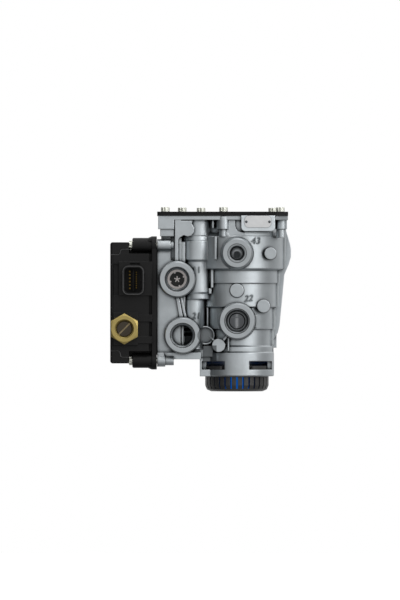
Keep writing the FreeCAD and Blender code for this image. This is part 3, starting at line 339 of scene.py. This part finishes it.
def shaded_circles(tree):
    """Painted shade of the circles, the lower left port's right half and the corner, from 0 to 1.

    None of the circles has a far limit, so they fall on the back of the housing too.
    """
    shade = None
    parts = tree.nodes.new("ShaderNodeSeparateXYZ")
    tree.links.new(object_place(tree), parts.inputs["Vector"])
    for x, z, radius, width, near, darkness, right_only in CIRCLES:
        distance, depth = axis_distance(tree, x, z)
        line = math_node(tree, "COMPARE", distance, radius, width / 2)
        line = math_node(tree, "MULTIPLY", line, math_node(tree, "GREATER_THAN", depth, near))
        dark = spread(tree, parts.outputs["X"], 0.0, darkness, x - radius * 0.7, x + radius * 0.5) \
            if right_only else darkness
        line = math_node(tree, "MULTIPLY", line, dark)
        shade = line if shade is None else math_node(tree, "MAXIMUM", shade, line)
    # Painted shade: the deep right half of the lower left port goes near black.
    _, x, z, thread, _ = PORTS[1]
    distance, depth = axis_distance(tree, x, z)
    inside = math_node(tree, "LESS_THAN", distance, thread + 0.0015)
    deep = math_node(tree, "GREATER_THAN", depth, THREAD_FRONT + 0.001)
    right = math_node(tree, "GREATER_THAN", parts.outputs["X"], x + 0.0022)
    passage = math_node(tree, "MULTIPLY", math_node(tree, "MULTIPLY", inside, deep), right)
    shade = math_node(tree, "MAXIMUM", shade, math_node(tree, "MULTIPLY", passage, 0.95))
    # Painted shade: the corner above the collar is darkened.
    foot = within(tree, FOOT_CORNER)
    return math_node(tree, "MAXIMUM", shade, math_node(tree, "MULTIPLY", foot, 0.72))


def painted_edge_highlight(tree, colour, radius, shine):
    """Lightens a colour along the outer edges: a painted highlight."""
    turned = tree.nodes.new("ShaderNodeVectorMath")
    turned.operation = "DOT_PRODUCT"
    tree.links.new(rounded_edge(tree, radius), turned.inputs[0])
    tree.links.new(tree.nodes.new("ShaderNodeNewGeometry").outputs["Normal"], turned.inputs[1])
    highlight = tree.nodes.new("ShaderNodeMix")
    highlight.data_type = "RGBA"
    highlight.inputs["B"].default_value = (0.86, 0.89, 0.91, 1.0)
    tree.links.new(spread(tree, turned.outputs["Value"], shine, 0.0, 0.86, 0.99), highlight.inputs["Factor"])
    tree.links.new(colour, highlight.inputs["A"])
    return highlight.outputs["Result"]


def tinted(colour, amount):
    return tuple(min(1.0, channel * amount) for channel in colour)


def cast_metal(name, colour, rough, edge):
    """Blasted die casting: fine grain, faint clouds, rounded edges, and turned port mouths."""
    material, tree, surface = new_material(name)
    mask, marks = machined_places(tree)
    cast = ramp(tree, noise(tree, 60.0, 5.0, 0.6), tinted(colour, 0.93), tinted(colour, 1.06))
    turned = ramp(tree, noise(tree, 90.0, 3.0), tinted(colour, 0.84), tinted(colour, 0.9))
    pad = ramp(tree, noise(tree, 90.0, 3.0), tinted(colour, 1.38), tinted(colour, 1.5))
    cast = mixed(tree, within(tree, PLATE_PAD), cast, pad)
    # Painted highlight along the edges.
    colour = painted_edge_highlight(tree, mixed(tree, mask, cast, turned), edge * 0.7, 0.6)
    # Painted shade: the circles, the deep half of the lower left port and the corner go towards near black.
    dark = tree.nodes.new("ShaderNodeMix")
    dark.data_type = "RGBA"
    dark.inputs["B"].default_value = (0.012, 0.014, 0.015, 1.0)
    tree.links.new(shaded_circles(tree), dark.inputs["Factor"])
    # Painted shade in the inner corners.
    tree.links.new(painted_crease_shade(tree, colour, 0.004, 0.94), dark.inputs["A"])
    tree.links.new(dark.outputs["Result"], surface.inputs["Base Color"])
    surface.inputs["Metallic"].default_value = 1.0
    grain = spread(tree, noise(tree, 500.0, 3.0), rough * 0.9, rough * 1.12)
    tree.links.new(
        math_node(tree, "SUBTRACT", grain, math_node(tree, "MULTIPLY", mask, 0.05)),
        surface.inputs["Roughness"],
    )
    grainy = math_node(tree, "MULTIPLY", noise(tree, 1500.0, 4.0, 0.65),
                       math_node(tree, "SUBTRACT", 1.0, mask))
    heights = [(noise(tree, 130.0, 2.0), 0.00006, 1.0), (grainy, 0.00005, 1.0), (marks, 0.00001, 0.7)]
    radius = math_node(tree, "MULTIPLY_ADD", mask, -edge * 0.8, edge)
    tree.links.new(relief(tree, heights, radius), surface.inputs["Normal"])
    return material


def set_glow(surface, glow):
    """Paints light into a finish deep in a port, where little light reaches it, by a faint glow."""
    if glow:
        surface.inputs["Emission Color"].default_value = (*glow, 1.0)
        surface.inputs["Emission Strength"].default_value = 1.0


def metal(name, colour, rough, grain, depth, edge, variation=0.06, stretch=None, glow=None):
    """A metal with a fine surface grain, slightly uneven colour and gloss, and rounded edges."""
    material, tree, surface = new_material(name)
    cloud = noise(tree, 90.0, 4.0)
    tree.links.new(
        ramp(tree, cloud, tinted(colour, 1 - variation), tinted(colour, 1 + variation)),
        surface.inputs["Base Color"],
    )
    surface.inputs["Metallic"].default_value = 1.0
    set_glow(surface, glow)
    tree.links.new(
        spread(tree, noise(tree, 420.0, 3.0), rough * 0.88, rough * 1.14), surface.inputs["Roughness"]
    )
    heights = [(noise(tree, grain, 4.0, 0.6, stretch), depth, 1.0)]
    tree.links.new(relief(tree, heights, edge), surface.inputs["Normal"])
    return material


def moulded(name, colour, rough, edge, grain=1500.0, depth=0.00003, specular=0.5, glow=None):
    """A moulded plastic or rubber: spark-eroded grain, faint clouds and rounded edges."""
    material, tree, surface = new_material(name)
    cloud = noise(tree, 40.0, 3.0)
    tree.links.new(
        ramp(tree, cloud, tinted(colour, 0.86), tinted(colour, 1.16)), surface.inputs["Base Color"]
    )
    tree.links.new(
        spread(tree, noise(tree, 300.0), rough * 0.9, rough * 1.12), surface.inputs["Roughness"]
    )
    surface.inputs["Specular IOR Level"].default_value = specular
    set_glow(surface, glow)
    heights = [(noise(tree, grain, 3.0, 0.7), depth, 1.0)]
    tree.links.new(relief(tree, heights, edge), surface.inputs["Normal"])
    return material


def dress(material, *names):
    for name in names:
        mesh = NODES[name].data
        mesh.materials.clear()
        mesh.materials.append(material)


# Pieces


def finish_piece(name, shape, material, carrier="housing", smooth=35.0):
    """Turns a bmesh into a piece that rides on its body."""
    bmesh.ops.remove_doubles(shape, verts=shape.verts, dist=0.000002)
    bmesh.ops.recalc_face_normals(shape, faces=shape.faces)
    mesh = bpy.data.meshes.new(name)
    shape.to_mesh(mesh)
    shape.free()
    piece = bpy.data.objects.new(name, mesh)
    bpy.context.scene.collection.objects.link(piece)
    mesh.materials.append(material)
    mesh.shade_smooth()
    mesh.set_sharp_from_angle(angle=math.radians(smooth))
    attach(piece, carrier)
    return piece


def spun_ring(profile, x, z, steps=72):
    """Spins a closed outline of (radius, Y) pairs once around a line that runs along Y."""
    shape = bmesh.new()
    corners = [shape.verts.new((x + radius, y, z)) for radius, y in profile]
    edges = [shape.edges.new((corners[i - 1], corners[i])) for i in range(len(corners))]
    bmesh.ops.spin(shape, geom=corners + edges, cent=(x, 0.0, z), axis=(0.0, 1.0, 0.0),
                   angle=2 * math.pi, steps=steps, use_merge=True)
    return shape


def lay_along_y(shape, place):
    """Turns a shape that was made along Z to lie along Y, and moves it to its place."""
    bmesh.ops.rotate(shape, verts=shape.verts, cent=(0.0, 0.0, 0.0),
                     matrix=Matrix.Rotation(math.pi / 2, 3, "X"))
    bmesh.ops.translate(shape, verts=shape.verts, vec=place)


def round_rod(radius, length, place, segments):
    """A plain round rod along Y."""
    rod = bmesh.new()
    bmesh.ops.create_cone(rod, cap_ends=True, segments=segments, radius1=radius, radius2=radius,
                          depth=length)
    lay_along_y(rod, place)
    return rod


def rounded_box(size, place, rounding):
    """A box with slightly rounded edges."""
    box = bmesh.new()
    bmesh.ops.create_cube(box, size=1.0)
    bmesh.ops.scale(box, verts=box.verts, vec=size)
    bmesh.ops.translate(box, verts=box.verts, vec=place)
    bmesh.ops.bevel(box, geom=box.edges[:], offset=rounding, segments=2, profile=0.5,
                    affect="EDGES", material=-1)
    return box


def curve_shape(name, curve):
    """Makes a curve a bmesh, and removes the curve."""
    maker = bpy.data.objects.new(name + "_maker", curve)
    bpy.context.scene.collection.objects.link(maker)
    bpy.context.view_layer.update()
    mesh = bpy.data.meshes.new_from_object(maker.evaluated_get(bpy.context.evaluated_depsgraph_get()))
    bpy.data.objects.remove(maker)
    bpy.data.curves.remove(curve)
    shape = bmesh.new()
    shape.from_mesh(mesh)
    bpy.data.meshes.remove(mesh)
    return shape


def thread_piece(name, x, z, radius, front, back, material):
    """Rows of thread crests on the wall of a port."""
    wall = radius - 0.00002
    rows = round((back - front) / THREAD_PITCH)
    pitch = (back - front) / rows
    profile = [(wall, back), (wall, front)]
    for row in range(rows):
        start = front + row * pitch
        profile += [(wall - THREAD_DEPTH, start + pitch * 0.42), (wall - THREAD_DEPTH, start + pitch * 0.58)]
        if row < rows - 1:
            profile.append((wall - 0.00005, start + pitch))
    finish_piece(name, spun_ring(profile, x, z), material, smooth=20.0)


def surface_depth(x, z):
    """Y of the casting's front surface at a place."""
    hit, point, _, _ = NODES["valve_housing"].ray_cast(Vector((x, -0.3, z)), Vector((0.0, 1.0, 0.0)))
    if not hit:
        raise RuntimeError("No casting behind a port number")
    return point.y


def number_piece(text, height, x, z, turn, slant, material):
    """Raised digits that follow the round casting under them."""
    name = "number_" + text
    curve = bpy.data.curves.new(name, "FONT")
    curve.body = text
    curve.size = height * 1.38
    curve.extrude = NUMBER_HEIGHT
    curve.bevel_depth = 0.00006
    curve.bevel_resolution = 1
    curve.offset = -0.00004
    curve.shear = slant
    curve.align_x = "CENTER"
    curve.align_y = "CENTER"
    shape = curve_shape(name, curve)
    place = (Matrix.Translation((x, 0.0, z)) @ Matrix.Rotation(math.pi / 2, 4, "X")
             @ Matrix.Rotation(math.radians(turn), 4, "Z"))
    bmesh.ops.transform(shape, matrix=place, verts=shape.verts)
    for vert in shape.verts:
        vert.co.y += surface_depth(vert.co.x, vert.co.z)
    finish_piece(name, shape, material)


def bead(name, points, y, radius, material, closed=False):
    """A round bead through (X, Z) points on a flat front."""
    curve = bpy.data.curves.new(name, "CURVE")
    curve.dimensions = "3D"
    curve.bevel_depth = radius
    curve.bevel_resolution = 2
    curve.use_fill_caps = True
    line = curve.splines.new("POLY")
    line.points.add(len(points) - 1)
    for point, (x, z) in zip(line.points, points):
        point.co = (x, y, z, 1.0)
    line.use_cyclic_u = closed
    shape = curve_shape(name, curve)
    finish_piece(name, shape, material)


class ValveFinish(bpy.types.PropertyGroup):
    cast_colour: bpy.props.FloatVectorProperty(
        name="Cast aluminium", description="Colour of the casting", subtype="COLOR",
        default=(0.495, 0.53, 0.55), min=0.0, max=1.0,
    )
    cast_roughness: bpy.props.FloatProperty(
        name="Cast roughness", description="How matt the casting is", default=0.40, min=0.0, max=1.0,
    )
    plastic_colour: bpy.props.FloatVectorProperty(
        name="Black plastic", description="Colour of the control unit and silencer", subtype="COLOR",
        default=(0.0065, 0.0065, 0.0067), min=0.0, max=1.0,
    )
    edge_radius: bpy.props.FloatProperty(
        name="Cast edge radius", description="Rounding of the cast edges", default=0.0011,
        subtype="DISTANCE", unit="LENGTH",
    )


class ValveStudio(bpy.types.PropertyGroup):
    key_power: bpy.props.FloatProperty(
        name="Key light", description="Power of the large light on the right", default=12.0, unit="POWER",
    )
    left_power: bpy.props.FloatProperty(
        name="Left light", description="Power of the light on the upper left", default=4.0, unit="POWER",
    )
    top_power: bpy.props.FloatProperty(
        name="Top light", description="Power of the light above", default=4.0, unit="POWER",
    )
    room_light: bpy.props.FloatProperty(
        name="Room light", description="Brightness of the room around the valve", default=1.5, min=0.0,
    )


class VALVE_OT_studio(bpy.types.Operator):
    """Camera, floor, room and soft lights"""

    bl_idname = "valve.studio"
    bl_label = "Studio"

    def execute(self, context):
        scene = context.scene
        studio = scene.valve_studio
        camera_data = bpy.data.cameras.new("camera")
        camera_data.sensor_width = 36.0
        camera_data.lens = 36.0 * CAMERA_DISTANCE / PICTURE_HEIGHT
        camera_data.clip_end = 30.0
        camera = bpy.data.objects.new("camera", camera_data)
        camera.location = (PICTURE_CENTRE_X, HOUSING[0][1] - CAMERA_DISTANCE, 0.0)
        camera.rotation_euler = (math.pi / 2, 0.0, 0.0)
        scene.collection.objects.link(camera)
        scene.camera = camera
        scene.view_settings.view_transform = "Standard"

        pale, _, surface = new_material("pale_floor")
        surface.inputs["Base Color"].default_value = (0.9, 0.9, 0.9, 1.0)
        surface.inputs["Roughness"].default_value = 0.9
        surface.inputs["Emission Color"].default_value = (1.0, 1.0, 1.0, 1.0)
        surface.inputs["Emission Strength"].default_value = 1.0
        floor = bmesh.new()
        bmesh.ops.create_grid(floor, x_segments=1, y_segments=1, size=4.0)
        bmesh.ops.translate(floor, verts=floor.verts, vec=(0.0, 0.0, CAD_BOX[0][2] - FLOOR_DROP))
        mesh = bpy.data.meshes.new("floor")
        floor.to_mesh(mesh)
        floor.free()
        mesh.materials.append(pale)
        ground = bpy.data.objects.new("floor", mesh)
        scene.collection.objects.link(ground)
        ground.visible_glossy = False
        ground.visible_diffuse = False

        self.build_room(scene, studio.room_light)
        for name, power, size, place in (
            ("key_right", studio.key_power, 1.1, (1.65, -1.6, 0.75)),
            ("light_left", studio.left_power, 0.7, (-1.5, -1.0, 1.3)),
            ("light_top", studio.top_power, 1.0, (0.2, -0.5, 2.0)),
        ):
            data = bpy.data.lights.new(name, "AREA")
            data.energy = power
            data.size = size
            light = bpy.data.objects.new(name, data)
            light.location = place
            aim = Vector(LIGHT_AIM) - Vector(place)
            light.rotation_euler = aim.to_track_quat("-Z", "Y").to_euler()
            scene.collection.objects.link(light)
        return {"FINISHED"}

    def build_room(self, scene, front_light):
        """Soft light that changes with direction and height, behind a plain white picture."""
        world = bpy.data.worlds.new("studio")
        world.use_nodes = True
        tree = world.node_tree
        tree.nodes.clear()
        parts = tree.nodes.new("ShaderNodeSeparateXYZ")
        tree.links.new(tree.nodes.new("ShaderNodeTexCoord").outputs["Generated"], parts.inputs["Vector"])
        turn = math_node(tree, "ARCTAN2", parts.outputs["X"],
                         math_node(tree, "MULTIPLY", parts.outputs["Y"], -1.0))
        walls = tree.nodes.new("ShaderNodeValToRGB")
        tree.links.new(spread(tree, turn, 0.0, 1.0, -math.pi, math.pi), walls.inputs["Fac"])
        for place, _ in ROOM_WALLS[1:-1]:
            walls.color_ramp.elements.new(place)
        for stop, (place, light) in zip(walls.color_ramp.elements, ROOM_WALLS):
            stop.position = place
            stop.color = (light, light, light, 1.0)
        height = spread(tree, parts.outputs["Z"], 0.3 * front_light, 1.25 * front_light, -0.8, 0.9)
        room = tree.nodes.new("ShaderNodeBackground")
        tree.links.new(math_node(tree, "MULTIPLY", walls.outputs["Color"], height), room.inputs["Strength"])
        white = tree.nodes.new("ShaderNodeBackground")
        both = tree.nodes.new("ShaderNodeMixShader")
        tree.links.new(tree.nodes.new("ShaderNodeLightPath").outputs["Is Camera Ray"], both.inputs["Fac"])
        tree.links.new(room.outputs["Background"], both.inputs[1])
        tree.links.new(white.outputs["Background"], both.inputs[2])
        white.inputs["Color"].default_value = (1.0, 1.0, 1.0, 1.0)
        output = tree.nodes.new("ShaderNodeOutputWorld")
        tree.links.new(both.outputs["Shader"], output.inputs["Surface"])
        scene.world = world


class VALVE_OT_casting(bpy.types.Operator):
    """Finish of the cast housing, its raised port numbers and the threads in its ports"""

    bl_idname = "valve.casting"
    bl_label = "Casting"

    def execute(self, context):
        finish = context.scene.valve_finish
        cast = cast_metal(
            "cast_aluminium", tuple(finish.cast_colour), finish.cast_roughness, finish.edge_radius
        )
        dress(cast, "valve_housing")
        digits = metal("cast_digits", (0.20, 0.22, 0.23), 0.5, 900.0, 0.00002, 0.0002)
        for number in NUMBERS:
            number_piece(*number, digits)
        cut = metal("cut_thread", (0.14, 0.147, 0.152), 0.34, 2500.0, 0.00001, 0.0)
        for name, x, z, radius, _ in PORTS:
            large = name != "port_43"
            thread_piece(
                "thread_" + name[5:], x, z, radius, THREAD_FRONT if large else SMALL_THREAD_FRONT,
                THREAD_BACK if large else SMALL_THREAD_BACK, cut,
            )
        self.add_pad_band(cast)
        finish_piece("column_fin", rounded_box(*COLUMN_FIN), cast)
        self.add_port_wall(cast)
        return {"FINISHED"}

    def add_pad_band(self, cast):
        """The curved band of casting between the barrel and the nameplate pad."""
        band = bmesh.new()
        start = math.radians(PAD_BAND_START)
        corners = [band.verts.new((r * math.sin(start), RELAY_DEPTH - r * math.cos(start), z))
                   for r, z in PAD_BAND]
        edges = [band.edges.new((corners[i - 1], corners[i])) for i in range(len(corners))]
        bmesh.ops.spin(band, geom=corners + edges, cent=(0.0, RELAY_DEPTH, 0.0), axis=(0.0, 0.0, 1.0),
                       angle=math.radians(PAD_BAND_SWEEP), steps=24, use_merge=False)
        bmesh.ops.holes_fill(band, edges=[edge for edge in band.edges if edge.is_boundary], sides=4)
        finish_piece("pad_band", band, cast)

    def add_port_wall(self, cast):
        """The wall that fills the left half of the lower left port, behind its thread."""
        _, x, z, _, _ = PORTS[1]
        wall = bmesh.new()
        bmesh.ops.create_circle(wall, cap_ends=True, segments=64, radius=PORT_WALL_RADIUS)
        bmesh.ops.bisect_plane(wall, geom=wall.verts[:] + wall.edges[:] + wall.faces[:],
                               plane_co=(PORT_WALL_SIDE, 0.0, 0.0), plane_no=(1.0, 0.0, 0.0),
                               clear_outer=True)
        front = bmesh.ops.extrude_face_region(wall, geom=wall.faces[:])["geom"]
        bmesh.ops.translate(wall, verts=[item for item in front if isinstance(item, bmesh.types.BMVert)],
                            vec=(0.0, 0.0, PORT_WALL_THICKNESS))
        lay_along_y(wall, (x, PORT_WALL_Y, z))
        finish_piece("port_wall", wall, cast)


class VALVE_OT_port_fittings(bpy.types.Operator):
    """Face of the strainer in the supply port, and the seat ring in the right port"""

    bl_idname = "valve.port_fittings"
    bl_label = "Port Fittings"

    def execute(self, context):
        # The strainer glows faintly: painted light deep in the supply port.
        grey = moulded("strainer_plastic", (0.42, 0.40, 0.39), 0.4, 0.0001, glow=(0.17, 0.16, 0.157))
        dress(grey, "port_strainer")
        _, x, z, _, _ = PORTS[0]
        face = spun_ring(STRAINER_RING, x, z)
        for i in range(4):
            self.add_bar(face, (x, z), 20 + 90 * i, 0.0062, 0.0078, 0.0016)
        for i in range(5):
            self.add_bar(face, (x, z), 90 + 72 * i, 0.0, 0.0031, 0.0011)
        finish_piece("strainer_face", face, grey)
        # A black disc behind the bars: painted shade in the strainer's openings.
        shade_disc = round_rod(SHADE_DISC_RADIUS, SHADE_DISC_THICKNESS, (x, SHADE_DISC_Y, z), 48)
        shade_black = moulded("strainer_shade_black", (0.012, 0.012, 0.012), 0.5, 0.0, 1800.0, 0.00006)
        finish_piece("strainer_shade_disc", shade_disc, shade_black)

        _, x, z, _, _ = PORTS[2]
        # The seat ring glows faintly: painted light deep in the right port.
        seat = metal("seat_aluminium", (0.5, 0.52, 0.53), 0.4, 1500.0, 0.00001, 0.0001,
                     glow=(0.12, 0.126, 0.13))
        finish_piece("seat_ring", spun_ring(SEAT_RING, x, z), seat)
        rim = metal("rim_aluminium", (0.56, 0.585, 0.60), 0.4, 1500.0, 0.00001, 0.0001)
        for index, near, far in PORT_RIMS:
            name, x, z, _, _ = PORTS[index]
            outline = [(near, RIM_BACK), (near, RIM_FRONT), (far, RIM_FRONT), (far, RIM_BACK)]
            finish_piece("rim_" + name[5:], spun_ring(outline, x, z), rim)
        return {"FINISHED"}

    def add_bar(self, shape, centre, angle, near, far, width):
        """A flat radial bar at an angle, from one radius to another."""
        bar = bmesh.ops.create_cube(shape, size=1.0)["verts"]
        bmesh.ops.scale(shape, verts=bar, vec=(far - near, 0.0008, width))
        bmesh.ops.translate(shape, verts=bar, vec=((near + far) / 2, 0.0, 0.0))
        bmesh.ops.rotate(shape, verts=bar, cent=(0.0, 0.0, 0.0),
                         matrix=Matrix.Rotation(math.radians(-angle), 3, "Y"))
        bmesh.ops.translate(shape, verts=bar, vec=(centre[0], BAR_Y, centre[1]))


class VALVE_OT_cover(bpy.types.Operator):
    """Finish of the top cover, its seal, screws, nameplate and rivets"""

    bl_idname = "valve.cover"
    bl_label = "Cover"

    def execute(self, context):
        black = moulded("cover_coating", (0.005, 0.005, 0.0052), 0.42, 0.0005, 900.0, 0.00002, 0.2)
        dress(black, "top_cover")
        dress(moulded("seal_rubber", (0.008, 0.008, 0.008), 0.6, 0.0002), "cover_seal", "control_gasket")
        plated = metal("plated_steel", (0.80, 0.81, 0.74), 0.42, 2000.0, 0.000003, 0.0001)
        dress(plated, "cover_screws", "control_screws")
        dress(metal("nameplate_metal", (0.74, 0.745, 0.75), 0.5, 700.0, 0.00001, 0.0002,
                    stretch=(0.05, 1.0, 1.0)), "nameplate")
        dress(metal("rivet_steel", (0.10, 0.11, 0.12), 0.4, 2000.0, 0.00001, 0.0002), "nameplate_rivets")
        return {"FINISHED"}


class VALVE_OT_control_unit(bpy.types.Operator):
    """Finish of the black control unit, and the ribs inside its connector"""

    bl_idname = "valve.control_unit"
    bl_label = "Control Unit"

    def execute(self, context):
        finish = context.scene.valve_finish
        black = moulded("unit_plastic", tuple(finish.plastic_colour), 0.42, 0.0008, specular=0.22)
        dress(black, "control_housing", "control_lid")
        gold = metal("contact_gold", (0.17, 0.115, 0.035), 0.45, 2500.0, 0.00001, 0.0002)
        dress(gold, "pins_wide", "pins_narrow")
        self.add_keys(black)
        # Raised beads along the lid and round the connector, in lighter plastic as a painted highlight.
        lip_highlight = moulded("unit_lip_highlight", (0.045, 0.045, 0.046), 0.35, 0.0, specular=0.4)
        for i, points in enumerate(LID_LINES):
            bead(f"lid_bead_{i}", points, *LID_BEAD, lip_highlight)
        left, right, low, high = SOCKET_RIM
        bend = SOCKET_BEND
        rim = []
        for x, z, start in ((right - bend, high - bend, 0), (left + bend, high - bend, 90),
                            (left + bend, low + bend, 180), (right - bend, low + bend, 270)):
            rim += [(x + bend * math.cos(math.radians(start + 18 * i)),
                     z + bend * math.sin(math.radians(start + 18 * i))) for i in range(6)]
        bead("socket_lip", rim, *SOCKET_BEAD, lip_highlight, closed=True)
        dress(moulded("board_lacquer", (0.02, 0.11, 0.04), 0.35, 0.0002), "circuit_board")
        return {"FINISHED"}

    def add_keys(self, black):
        """A thin wall between the two rows of pins and a round key on the right wall."""
        finish_piece("connector_wall", rounded_box(*CONNECTOR_WALL), black)
        finish_piece("connector_key", round_rod(*CONNECTOR_KEY, 32), black)


class VALVE_OT_fitting(bpy.types.Operator):
    """Finish of the brass fitting and its slotted plug"""

    bl_idname = "valve.fitting"
    bl_label = "Fitting"

    def execute(self, context):
        dress(metal("brass", (0.44, 0.345, 0.125), 0.45, 1600.0, 0.00001, 0.0002), "test_fitting")
        dress(self.plug_bronze(), "fitting_plug")
        return {"FINISHED"}

    def plug_bronze(self):
        """Dark bronze with a lighter slot."""
        material, tree, surface = new_material("plug_bronze")
        low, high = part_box("fitting_plug")
        parts = tree.nodes.new("ShaderNodeSeparateXYZ")
        tree.links.new(object_place(tree), parts.inputs["Vector"])
        across = math_node(tree, "SUBTRACT", parts.outputs["X"], (low[0] + high[0]) / 2)
        height = math_node(tree, "SUBTRACT", parts.outputs["Z"], (low[2] + high[2]) / 2)
        diagonal = math_node(tree, "SUBTRACT", across, height)
        slot = math_node(tree, "COMPARE", diagonal, 0.0, SLOT_HALF_WIDTH)
        bronze = ramp(tree, noise(tree, 90.0, 4.0), (0.060, 0.050, 0.038), (0.072, 0.061, 0.047))
        lighter_slot = ramp(tree, noise(tree, 400.0, 4.0), (0.30, 0.24, 0.14), (0.36, 0.29, 0.18))
        tree.links.new(mixed(tree, slot, bronze, lighter_slot), surface.inputs["Base Color"])
        surface.inputs["Metallic"].default_value = 1.0
        tree.links.new(spread(tree, noise(tree, 420.0), 0.38, 0.5), surface.inputs["Roughness"])
        heights = [(noise(tree, 1600.0, 4.0, 0.6), 0.00001, 1.0)]
        tree.links.new(relief(tree, heights, 0.0002), surface.inputs["Normal"])
        return material


class VALVE_OT_silencer(bpy.types.Operator):
    """Finish of the ribbed silencer cap and its blue element"""

    bl_idname = "valve.silencer"
    bl_label = "Silencer"

    def execute(self, context):
        dress(moulded("silencer_plastic", (0.036, 0.035, 0.034), 0.36, 0.0005, specular=0.45), "silencer_cap")
        dress(self.filter_felt(), "silencer_element")
        return {"FINISHED"}

    def filter_felt(self):
        """Blue felt that glows as painted light where the cap's slits show it, near black inside the collar.
        """
        material, tree, surface = new_material("filter_felt")
        parts = tree.nodes.new("ShaderNodeSeparateXYZ")
        tree.links.new(object_place(tree), parts.inputs["Vector"])
        below_collar = math_node(tree, "LESS_THAN", parts.outputs["Z"], COLLAR_BOTTOM)
        blue = ramp(tree, noise(tree, 700.0, 3.0), (0.0, 0.02, 0.10), (0.0, 0.03, 0.16))
        dark_upper_felt = ramp(tree, noise(tree, 300.0, 3.0), (0.008, 0.008, 0.009), (0.014, 0.014, 0.015))
        tree.links.new(mixed(tree, below_collar, dark_upper_felt, blue), surface.inputs["Base Color"])
        surface.inputs["Roughness"].default_value = 0.8
        surface.inputs["Specular IOR Level"].default_value = 0.1
        # Painted light: the blue felt below the collar glows.
        surface.inputs["Emission Color"].default_value = (0.0, 0.065, 0.30, 1.0)
        tree.links.new(below_collar, surface.inputs["Emission Strength"])
        tree.links.new(relief(tree, [(noise(tree, 2500.0, 3.0), 0.00008, 1.0)]), surface.inputs["Normal"])
        return material


class VALVE_OT_inner_pieces(bpy.types.Operator):
    """Finish of the pieces inside, some of which show through the ports"""

    bl_idname = "valve.inner_pieces"
    bl_label = "Inner Pieces"

    def execute(self, context):
        turned = metal("turned_aluminium", (0.62, 0.64, 0.66), 0.3, 900.0, 0.00002, 0.0003,
                       stretch=(1, 1, 12))
        dress(turned, "inlet_valve", "valve_guide", "throttle_piston", "throttle_cap")
        # The relay piston glows faintly: painted light where it shows deep in a port.
        dress(metal("anodised_aluminium", (0.62, 0.63, 0.64), 0.42, 900.0, 0.00002, 0.0003,
                    glow=(0.06, 0.063, 0.066)), "relay_piston")
        dress(moulded("seal_ring", (0.01, 0.01, 0.01), 0.5, 0.0002), "piston_seal", "stem_seal",
              "guide_seal", "throttle_seal")
        wire = metal("spring_wire", (0.4, 0.4, 0.41), 0.3, 1500.0, 0.00001, 0.0002)
        springs = [f"armature_spring_{i}" for i in (1, 2, 3)]
        dress(wire, "inlet_spring", "throttle_spring", "guide_circlip", *springs)
        dress(moulded("coil_plastic", (0.02, 0.02, 0.022), 0.5, 0.0004), "valve_block",
              *[f"solenoid_coil_{i}" for i in (1, 2, 3)])
        iron = metal("magnet_iron", (0.45, 0.46, 0.47), 0.35, 1200.0, 0.00001, 0.0003)
        dress(iron, "pressure_sensor", *[f"solenoid_core_{i}" for i in (1, 2, 3)],
              *[f"solenoid_armature_{i}" for i in (1, 2, 3)])
        return {"FINISHED"}


STEPS = (
    VALVE_OT_studio,
    VALVE_OT_casting,
    VALVE_OT_port_fittings,
    VALVE_OT_cover,
    VALVE_OT_control_unit,
    VALVE_OT_fitting,
    VALVE_OT_silencer,
    VALVE_OT_inner_pieces,
)


class VALVE_PT_sidebar(bpy.types.Panel):
    bl_label = "Trailer Control Valve"
    bl_idname = "VALVE_PT_sidebar"
    bl_space_type = "VIEW_3D"
    bl_region_type = "UI"
    bl_category = "Valve"

    def draw(self, context):
        for group in (context.scene.valve_finish, context.scene.valve_studio):
            for name in type(group).__annotations__:
                self.layout.prop(group, name)
        for step in STEPS:
            self.layout.operator(step.bl_idname)


def register():
    for item in (ValveFinish, ValveStudio, *STEPS, VALVE_PT_sidebar):
        bpy.utils.register_class(item)
    bpy.types.Scene.valve_finish = bpy.props.PointerProperty(type=ValveFinish)
    bpy.types.Scene.valve_studio = bpy.props.PointerProperty(type=ValveStudio)


def unregister():
    del bpy.types.Scene.valve_finish
    del bpy.types.Scene.valve_studio
    for item in (VALVE_PT_sidebar, *reversed(STEPS), ValveStudio, ValveFinish):
        bpy.utils.unregister_class(item)


def main():
    register()
    for step in STEPS:
        group, name = step.bl_idname.split(".")
        getattr(getattr(bpy.ops, group), name)()


if __name__ == "__main__":
    main()
